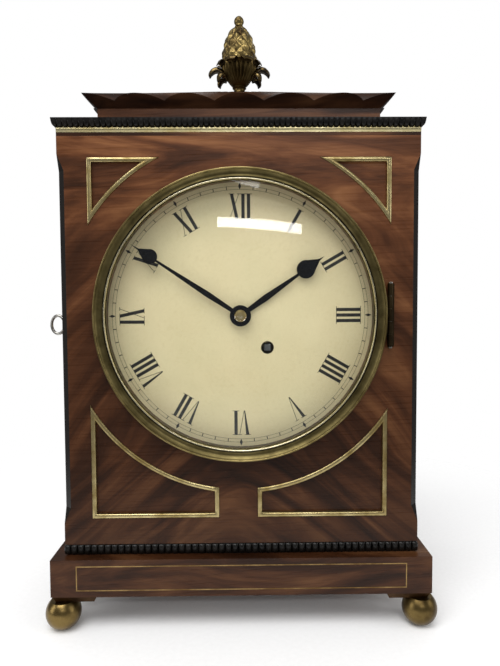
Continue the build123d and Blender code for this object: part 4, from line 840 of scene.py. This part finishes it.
bead_round = 0.5
bead_middle = (sight_radius + 0.7, bezel_front_y + 3.1)
sight_start_y = bezel_front_y + 4.3
sight_outer = (101.95, bezel_front_y + 4.0)
sight_back = (101.2, ring_back_y - 1.05)
sight_section = [(sight_radius, sight_start_y), (sight_radius, bezel_front_y + 3.5)]
sight_section += arc(bead_middle, bead_round, 200, 340, 9)
sight_section += [sight_outer, (sight_outer[0], sight_back[1]), sight_back, (sight_back[0], sight_start_y)]
lathe_piece("sight_bead", sight_section, "bezel", "bright_brass", sight_silver, "sight_ring")


# Dial printing, laid on the domed plate
def dial_y(radius):
    sphere = (dial_radius**2 + dial_bulge**2) / (2 * dial_bulge)
    return dial_crown_y + sphere - math.sqrt(sphere**2 - radius**2)


def on_dial(x, z, lift):
    return (x, dial_y(math.hypot(x, z)) - lift, dial_z + z)


printing = Build()


def printed_ring(inner, outer, steps):
    rows = []
    for radius, lift in ((inner, 0), (inner, ink_thick), (outer, ink_thick), (outer, 0)):
        row = []
        for n in range(steps):
            a = 2 * math.pi * n / steps
            row.append(on_dial(radius * math.sin(a), radius * math.cos(a), ink_lift + lift))
        rows.append(row)
    printing.grid(rows, wrap_rows=True, wrap_columns=True)


def printed_quad(quad, turn, steps):
    """A stroke with four corners, given as (across, outward) in millimetres and turned round the dial."""
    c, s = math.cos(turn), math.sin(turn)
    rows = []
    for n in range(steps + 1):
        t = n / steps
        a = [quad[0][i] + (quad[3][i] - quad[0][i]) * t for i in (0, 1)]
        b = [quad[1][i] + (quad[2][i] - quad[1][i]) * t for i in (0, 1)]
        row = []
        for p, lift in ((a, 0), (a, ink_thick), (b, ink_thick), (b, 0)):
            row.append(on_dial(p[0] * c + p[1] * s, -p[0] * s + p[1] * c, ink_lift + lift))
        rows.append(row)
    printing.grid(rows, wrap_columns=True, caps=True)


# Numerals and minute track: radii, then each letter's strokes as (foot, head, width, width at the foot) and
# its serifs as (middle, reach, whether at the head), all from the letter's middle
numeral_inner = 73.5
numeral_outer = 93.0
thick_stroke = 2.5
thin_stroke = 0.4
serif = 0.4
letter_step = {"I": 4.25, "V": 8.0, "X": 9.1}
track_inner = 96.2
line_half = 0.1
tick_half = 0.3
track_outer = 98.8
lozenge_half = (1.15, 2.7)
letter_strokes = {
    "I": [(0.0, 0.0, thick_stroke, thick_stroke)],
    "V": [(-0.6, -3.0, thick_stroke, 0.7), (-0.2, 3.3, thin_stroke, thin_stroke)],
    "X": [(2.1, -2.1, thick_stroke, thick_stroke), (-3.6, 3.6, thin_stroke, thin_stroke)],
}
letter_serifs = {
    "I": [(0.0, 2.6, False), (0.0, 2.6, True)],
    "V": [(-3.0, 2.4, True), (3.1, 1.5, True)],
    "X": [(2.1, 2.1, False), (-2.1, 2.1, True), (-3.4, 1.4, False), (3.4, 1.4, True)],
}


def stroke(x_low, x_high, width, foot_width, turn):
    """A stroke from the numeral's foot to its head, leaning from x_low to x_high."""
    head, foot = width / 2, foot_width / 2
    quad = [
        (x_low - foot, numeral_inner),
        (x_low + foot, numeral_inner),
        (x_high + head, numeral_outer),
        (x_high - head, numeral_outer),
    ]
    printed_quad(quad, turn, 8)


def serif_bar(x, reach, z, turn):
    printed_quad([(x - reach, z), (x + reach, z), (x + reach, z + serif), (x - reach, z + serif)], turn, 2)


def numeral(word, hour):
    turn = math.radians(30 * hour)
    x = -sum(letter_step[c] for c in word) / 2
    for c in word:
        middle = x + letter_step[c] / 2
        x += letter_step[c]
        for foot, head, width, foot_width in letter_strokes[c]:
            stroke(middle + foot, middle + head, width, foot_width, turn)
        for at, reach, at_head in letter_serifs[c]:
            serif_bar(middle + at, reach, numeral_outer - serif if at_head else numeral_inner, turn)


def minute_mark(minute):
    """A tick across the track, or a lozenge on its outer line at every fifth minute."""
    if minute % 5:
        inner = [(-tick_half, track_inner), (tick_half, track_inner)]
        outer = [(tick_half, track_outer), (-tick_half, track_outer)]
        printed_quad(inner + outer, math.radians(6 * minute), 2)
    else:
        wide, tall = lozenge_half
        low, high = track_outer - tall, track_outer + tall
        points = [(0.0, low), (wide, track_outer), (0.0, high), (-wide, track_outer)]
        printed_quad(points, math.radians(6 * minute), 1)


numerals = ("XII", "I", "II", "III", "IIII", "V", "VI", "VII", "VIII", "IX", "X", "XI")
for hour, word in enumerate(numerals):
    numeral(word, hour)
for track in (track_inner, track_outer):
    printed_ring(track - line_half, track + line_half, 360)
for minute in range(60):
    minute_mark(minute)
printing.piece("dial_printing", "case", "dial_paint", dial_ink, smooth=False)


# Ball feet: a ball cut flat on the floor, with a peg up into the base
feet_low, feet_high = corners("ball_feet")
ball_radius = 13.15
ball_sunk = 0.5
ball_middle = ball_radius - ball_sunk
ball_top = 22.1
peg_radius = 3.0
peg_top = 30.0
axis_radius = 0.01
feet = Build()
low_angle = math.degrees(math.asin(-ball_middle / ball_radius))
high_angle = math.degrees(math.asin((ball_top - ball_middle) / ball_radius))
foot_profile = [(axis_radius, 0.0)] + arc((0, ball_middle), ball_radius, low_angle, high_angle, 28)
foot_profile += [(peg_radius, ball_top), (peg_radius, peg_top), (axis_radius, peg_top)]
for x in (feet_low[0] + ball_radius, feet_high[0] - ball_radius):
    for y in (feet_low[1] + ball_radius, feet_high[1] - ball_radius):
        feet.lathe(foot_profile, 56, upright(x, y))
feet.piece("ball_foot_set", "case", "aged_brass", foot_brass, ["ball_feet"], sharp=45)

# Finial. Outlines are (radius, height over the pad's crown).
crown_z = corners("finial_cup")[0][2]


def over_crown(points):
    return [(radius, crown_z + z) for radius, z in points]


flutes = 24
flute_start = 8.6
flute_run = 6.0
flute_deep = 1.6
flute_power = 1.1
cup_mouth_radius = 13.0
cup_top = 28.2
cup_seat = [
    (axis_radius, 0.0),
    (7.75, 0.0),
    (7.75, 1.2),
    (7.3, 1.6),
    (5.9, 1.7),
    (5.25, 2.3),
    (4.6, 4.2),
    (5.0, 6.0),
    (6.0, 6.8),
    (5.6, 7.5),
]
cup_bowl = [
    (5.25, 8.0),
    (6.6, 8.9),
    (9.6, 12.4),
    (12.4, 16.6),
    (14.4, 20.6),
    (15.2, 24.0),
    (15.2, 26.4),
    (15.5, cup_top),
]


def flute(radius, angle, z):
    deep = min(1.0, max(0.0, (z - crown_z - flute_start) / flute_run))
    return -flute_deep * deep * (0.5 + 0.5 * math.cos(flutes * angle)) ** flute_power


cup = Build()
cup_profile = cup_seat + blend_points(cup_bowl, 4) + [(cup_mouth_radius, cup_top), (axis_radius, cup_top)]
cup.lathe(over_crown(cup_profile), 192, upright(0, 0), ripple=flute)
cup.piece("fluted_cup", "case", "aged_brass", foot_brass, ["finial_cup"], sharp=50)

fruit_foot = 27.2
fruit_top = 59.2
fruit_body = [
    (14.8, fruit_foot),
    (15.1, 30.0),
    (14.8, 34.0),
    (13.9, 39.5),
    (12.4, 45.5),
    (10.1, 51.0),
    (7.0, 55.4),
    (4.3, 58.2),
    (3.2, 59.6),
]
bud = [(3.3, 60.6), (4.15, 62.4), (4.0, 64.4), (3.0, 66.2), (1.5, 67.5)]
bud_top = 67.8
scale_rows = 5.5
scales_around = 9
scale_crowding = 1.25
scale_power = 1.3
scale_tall = 1.7
scale_sunk = 1.1
scale_least = 0.35
scale_full_radius = 12


def fruit_scale(radius, angle, z):
    """Overlapping diamond scales: bosses set in two crossing spirals. The axis and the bud stay smooth."""
    tall = (z - crown_z - fruit_foot) / (fruit_top - fruit_foot)
    if radius <= 1 or tall > 1.0:
        return 0.0
    row = (1 - (1 - tall) ** scale_crowding) * scale_rows
    turns = angle / (2 * math.pi) * scales_around
    rising = abs(((turns + row / 2) % 1.0) - 0.5) * 2
    falling = abs(((turns - row / 2) % 1.0) - 0.5) * 2
    size = scale_tall * min(1.0, scale_least + radius / scale_full_radius)
    return (1.0 - max(rising, falling) ** scale_power) * size - scale_sunk


fruit = Build()
fruit_profile = [(axis_radius, fruit_foot)] + blend_points(fruit_body, 8) + blend_points(bud, 5)
fruit_profile.append((axis_radius, bud_top))
fruit.lathe(over_crown(fruit_profile), 240, upright(0, 0), ripple=fruit_scale)
fruit.piece("pineapple", "case", "aged_brass", gilt, ["finial_fruit"], sharp=60)

leaf_foot_share = 0.22
leaf_run_share = 0.62
leaf_blunt = 0.7
leaf_taper = 0.5
leaf_taper_power = 4
leaf_edge_thin = 0.6
rib_deep = 0.28
leaf_across = 10


def leaf(build, angle, line, wide, thick, droop):
    """A curled leaf: line is its spine as (radius, z), wide its greatest half width, thick its depth across
    the spine and droop how far its edges stand over its middle, so a drooping edge is below 0."""
    points = blend_points(line, 5)
    rows = []
    ca, sa = math.cos(angle), math.sin(angle)
    count = len(points)
    upper = [(i, 0.5) for i in range(count)]
    under = [(i, -0.5) for i in reversed(range(count))]
    for i, face in upper + under:
        t = i / (count - 1)
        r, z = points[i]
        half = wide * math.sin(math.pi * (leaf_foot_share + leaf_run_share * t)) ** leaf_blunt
        before = points[max(i - 1, 0)]
        after = points[min(i + 1, count - 1)]
        run_r, run_z = after[0] - before[0], after[1] - before[1]
        run = math.hypot(run_r, run_z)
        body = thick * (1 - leaf_taper * t**leaf_taper_power)
        row = []
        for n in range(leaf_across + 1):
            w = -1 + 2 * n / leaf_across
            ridge = droop * (w * w) - rib_deep * abs(math.sin(3 * math.pi * w / 2))
            off = body * face * (1 - leaf_edge_thin * abs(w))
            out = r - off * run_z / run
            row.append((out * ca - half * w * sa, out * sa + half * w * ca, z + ridge + off * run_r / run))
        rows.append(row)
    build.grid(rows, wrap_rows=True)
    # The loop of rows closes the leaf's two ends; these faces close its two long edges
    columns = leaf_across + 1
    first = len(build.verts) - len(rows) * columns
    for edge in (0, leaf_across):
        for i in range(count - 1):
            near, far = first + i * columns + edge, first + (i + 1) * columns + edge
            far_under = first + (2 * count - 2 - i) * columns + edge
            build.faces.append((near, far, far_under, far_under + columns))


rim_leaf = over_crown([(14.2, 24.6), (15.6, 26.6), (17.3, 27.6), (18.8, 26.6), (19.5, 24.6)])
long_leaf = over_crown([(13.8, 20.4), (17.6, 23.0), (21.2, 22.8), (24.2, 20.4), (25.6, 17.6)])
curl = over_crown([(12.8, 15.4), (15.4, 16.6), (17.6, 15.6), (18.9, 13.2), (18.8, 10.8)])
rim_leaves = 8
curl_lean = 22
leaves = Build()
for n in range(rim_leaves):
    leaf(leaves, math.radians((n + 0.5) * 360 / rim_leaves), rim_leaf, wide=5.6, thick=1.3, droop=-0.5)
for turn in (0, math.pi):
    leaf(leaves, turn, long_leaf, wide=4.4, thick=4.4, droop=-0.9)
    for lean in (-curl_lean, curl_lean):
        leaf(leaves, turn + math.radians(lean), curl, wide=3.2, thick=4.4, droop=-0.5)
leaves.piece("curled_leaves", "case", "aged_brass", dark_bronze, ["finial_leaves"], sharp=60)


# Key: an oval bow on a shank
key_low, key_high = corners("key")
key_drop = 6.6
key_setback = 26.0
key_z = dial_z - key_drop
key_y = front_y + key_setback
key_build = Build()


def closed_wire(build, points, radius, sides):
    """A ring of round wire through the points."""
    rows = []
    count = len(points)
    for i, p in enumerate(points):
        run = (Vector(points[(i + 1) % count]) - Vector(points[i - 1])).normalized()
        side = run.cross(Vector((0, 1, 0))).normalized()
        up = run.cross(side).normalized()
        row = []
        for n in range(sides):
            a = 2 * math.pi * n / sides
            row.append(tuple(Vector(p) + side * radius * math.cos(a) + up * radius * math.sin(a)))
        rows.append(row)
    build.grid(rows, wrap_rows=True, wrap_columns=True)


bow_wide = 12.4
bow_tall = 16.6
bow_wire = 1.15
bow_steps = 40
bow_overlap = 1.6
bow_x = key_low[0] + bow_wide / 2
bow = []
for n in range(bow_steps):
    a = 2 * math.pi * n / bow_steps
    x = bow_x + (bow_wide / 2 - bow_wire) * math.cos(a)
    bow.append((x, key_y, key_z + (bow_tall / 2 - bow_wire) * math.sin(a)))
closed_wire(key_build, bow, bow_wire, 12)

# Shank, turned about X as (radius, x), with a collar next to the bow; then the bit that lifts the bolt
shank_start = key_low[0] + bow_wide - bow_overlap
shank_radius = 1.6
collar_radius = 2.4
bit_left = -120.65
bit_right = -117.65
bit_half = 0.8
bit_reach = 4.4
bit_root = 1.0


def sideways(y, z):
    return lambda radius, angle, x: (x, y + radius * math.cos(angle), z + radius * math.sin(angle))


shank = [
    (axis_radius, shank_start),
    (1.5, shank_start + 0.3),
    (1.7, shank_start + 1.2),
    (collar_radius, shank_start + 1.6),
    (collar_radius, shank_start + 3.4),
    (shank_radius, shank_start + 3.8),
    (shank_radius, key_high[0]),
    (axis_radius, key_high[0]),
]
key_build.lathe(shank, 28, sideways(key_y, key_z))
key_build.box(
    (bit_left, key_y - bit_half, key_z - bit_reach),
    (bit_right, key_y + bit_half, key_z - bit_root),
)
key_build.piece("winding_lock_key", "key", "steel", steel, ["key"], sharp=40)


# Floor, light and camera
def area(name, size, place, aim, watts):
    data = bpy.data.lights.new(name, "AREA")
    data.shape = "RECTANGLE"
    data.size, data.size_y = size
    data.energy = watts
    lamp = bpy.data.objects.new(name, data)
    bpy.context.scene.collection.objects.link(lamp)
    lamp.location = place
    lamp.rotation_euler = (Vector(aim) - Vector(place)).to_track_quat("-Z", "Y").to_euler()
    return lamp


floor_half = 4.0
floor_solid = 0.22
floor_gone = 0.55
floor_mesh = bpy.data.meshes.new("floor")
floor_corners = [(x * floor_half, y * floor_half, 0) for x, y in ((-1, -1), (1, -1), (1, 1), (-1, 1))]
floor_mesh.from_pydata(floor_corners, [], [(0, 1, 2, 3)])
floor = bpy.data.objects.new("floor", floor_mesh)
bpy.context.scene.collection.objects.link(floor)
paper = Nodes("paper")
grain = paper.noise(paper.place(), 300.0, 2.0)
tint = paper.ramp(grain, [(0.3, (0.94, 0.94, 0.94)), (0.7, (0.97, 0.97, 0.97))])
solid = paper.add("ShaderNodeBsdfDiffuse", links={"Color": tint})
clear = paper.add("ShaderNodeBsdfTransparent")
away = paper.add("ShaderNodeVectorMath", links={0: paper.place()}, operation="LENGTH").outputs["Value"]
fade = paper.spread(away, floor_solid, floor_gone)
faded = paper.add("ShaderNodeMixShader", links={0: fade, 1: solid.outputs[0], 2: clear.outputs[0]})
paper.tree.links.new(faded.outputs[0], paper.output.inputs[0])
floor.data.materials.append(paper.material)

middle = (0, 0, 0.25)
area("overhead", (1.4, 1.0), (-0.35, -1.0, 1.75), middle, 22)
area("left_fill", (0.7, 1.2), (-1.7, -0.7, 0.7), middle, 6)
area("right_fill", (0.7, 1.2), (1.7, -0.6, 0.8), middle, 6)
area("back_light", (1.2, 0.9), (0.3, 1.5, 1.6), (0, 0, 0.3), 5)

# The long lamp that the bezel's glass mirrors above the hands, leaning down to the right
strip_lean = -6.5
strip_lamp = area("reflected_strip", (1.0, 0.12), (0.22, -2.05, 1.26), (0, -0.09, 0.30), 5.5)
strip_lamp.rotation_euler.rotate_axis("Z", math.radians(strip_lean))

world_light = 0.62
world_in_gloss = 0.22
world_seen = 1.0
world = bpy.data.worlds.new("studio")
bpy.context.scene.world = world
world.use_nodes = True
tree = world.node_tree
tree.nodes.clear()
world_out = tree.nodes.new("ShaderNodeOutputWorld")
rays = tree.nodes.new("ShaderNodeLightPath")
shown = None
for kind, strength in ((None, world_light), ("Is Glossy Ray", world_in_gloss), ("Is Camera Ray", world_seen)):
    level = tree.nodes.new("ShaderNodeBackground")
    level.inputs[0].default_value = (1, 1, 1, 1)
    level.inputs[1].default_value = strength
    if kind is None:
        shown = level.outputs[0]
        continue
    chooser = tree.nodes.new("ShaderNodeMixShader")
    tree.links.new(rays.outputs[kind], chooser.inputs[0])
    tree.links.new(shown, chooser.inputs[1])
    tree.links.new(level.outputs[0], chooser.inputs[2])
    shown = chooser.outputs[0]
tree.links.new(shown, world_out.inputs[0])

camera_lens = 29.95
camera_place = (0.002, -0.489, 0.2443)
camera_dip = 2.88
camera_roll = 0.32
camera_turn = -0.72
camera_data = bpy.data.cameras.new("camera")
camera = bpy.data.objects.new("camera", camera_data)
bpy.context.scene.collection.objects.link(camera)
camera_data.sensor_width = 36.0
camera_data.lens = camera_lens
camera.location = camera_place
camera.rotation_euler = (math.radians(90 - camera_dip), math.radians(camera_roll), math.radians(camera_turn))
bpy.context.scene.camera = camera
bpy.context.scene.view_settings.view_transform = "Standard"
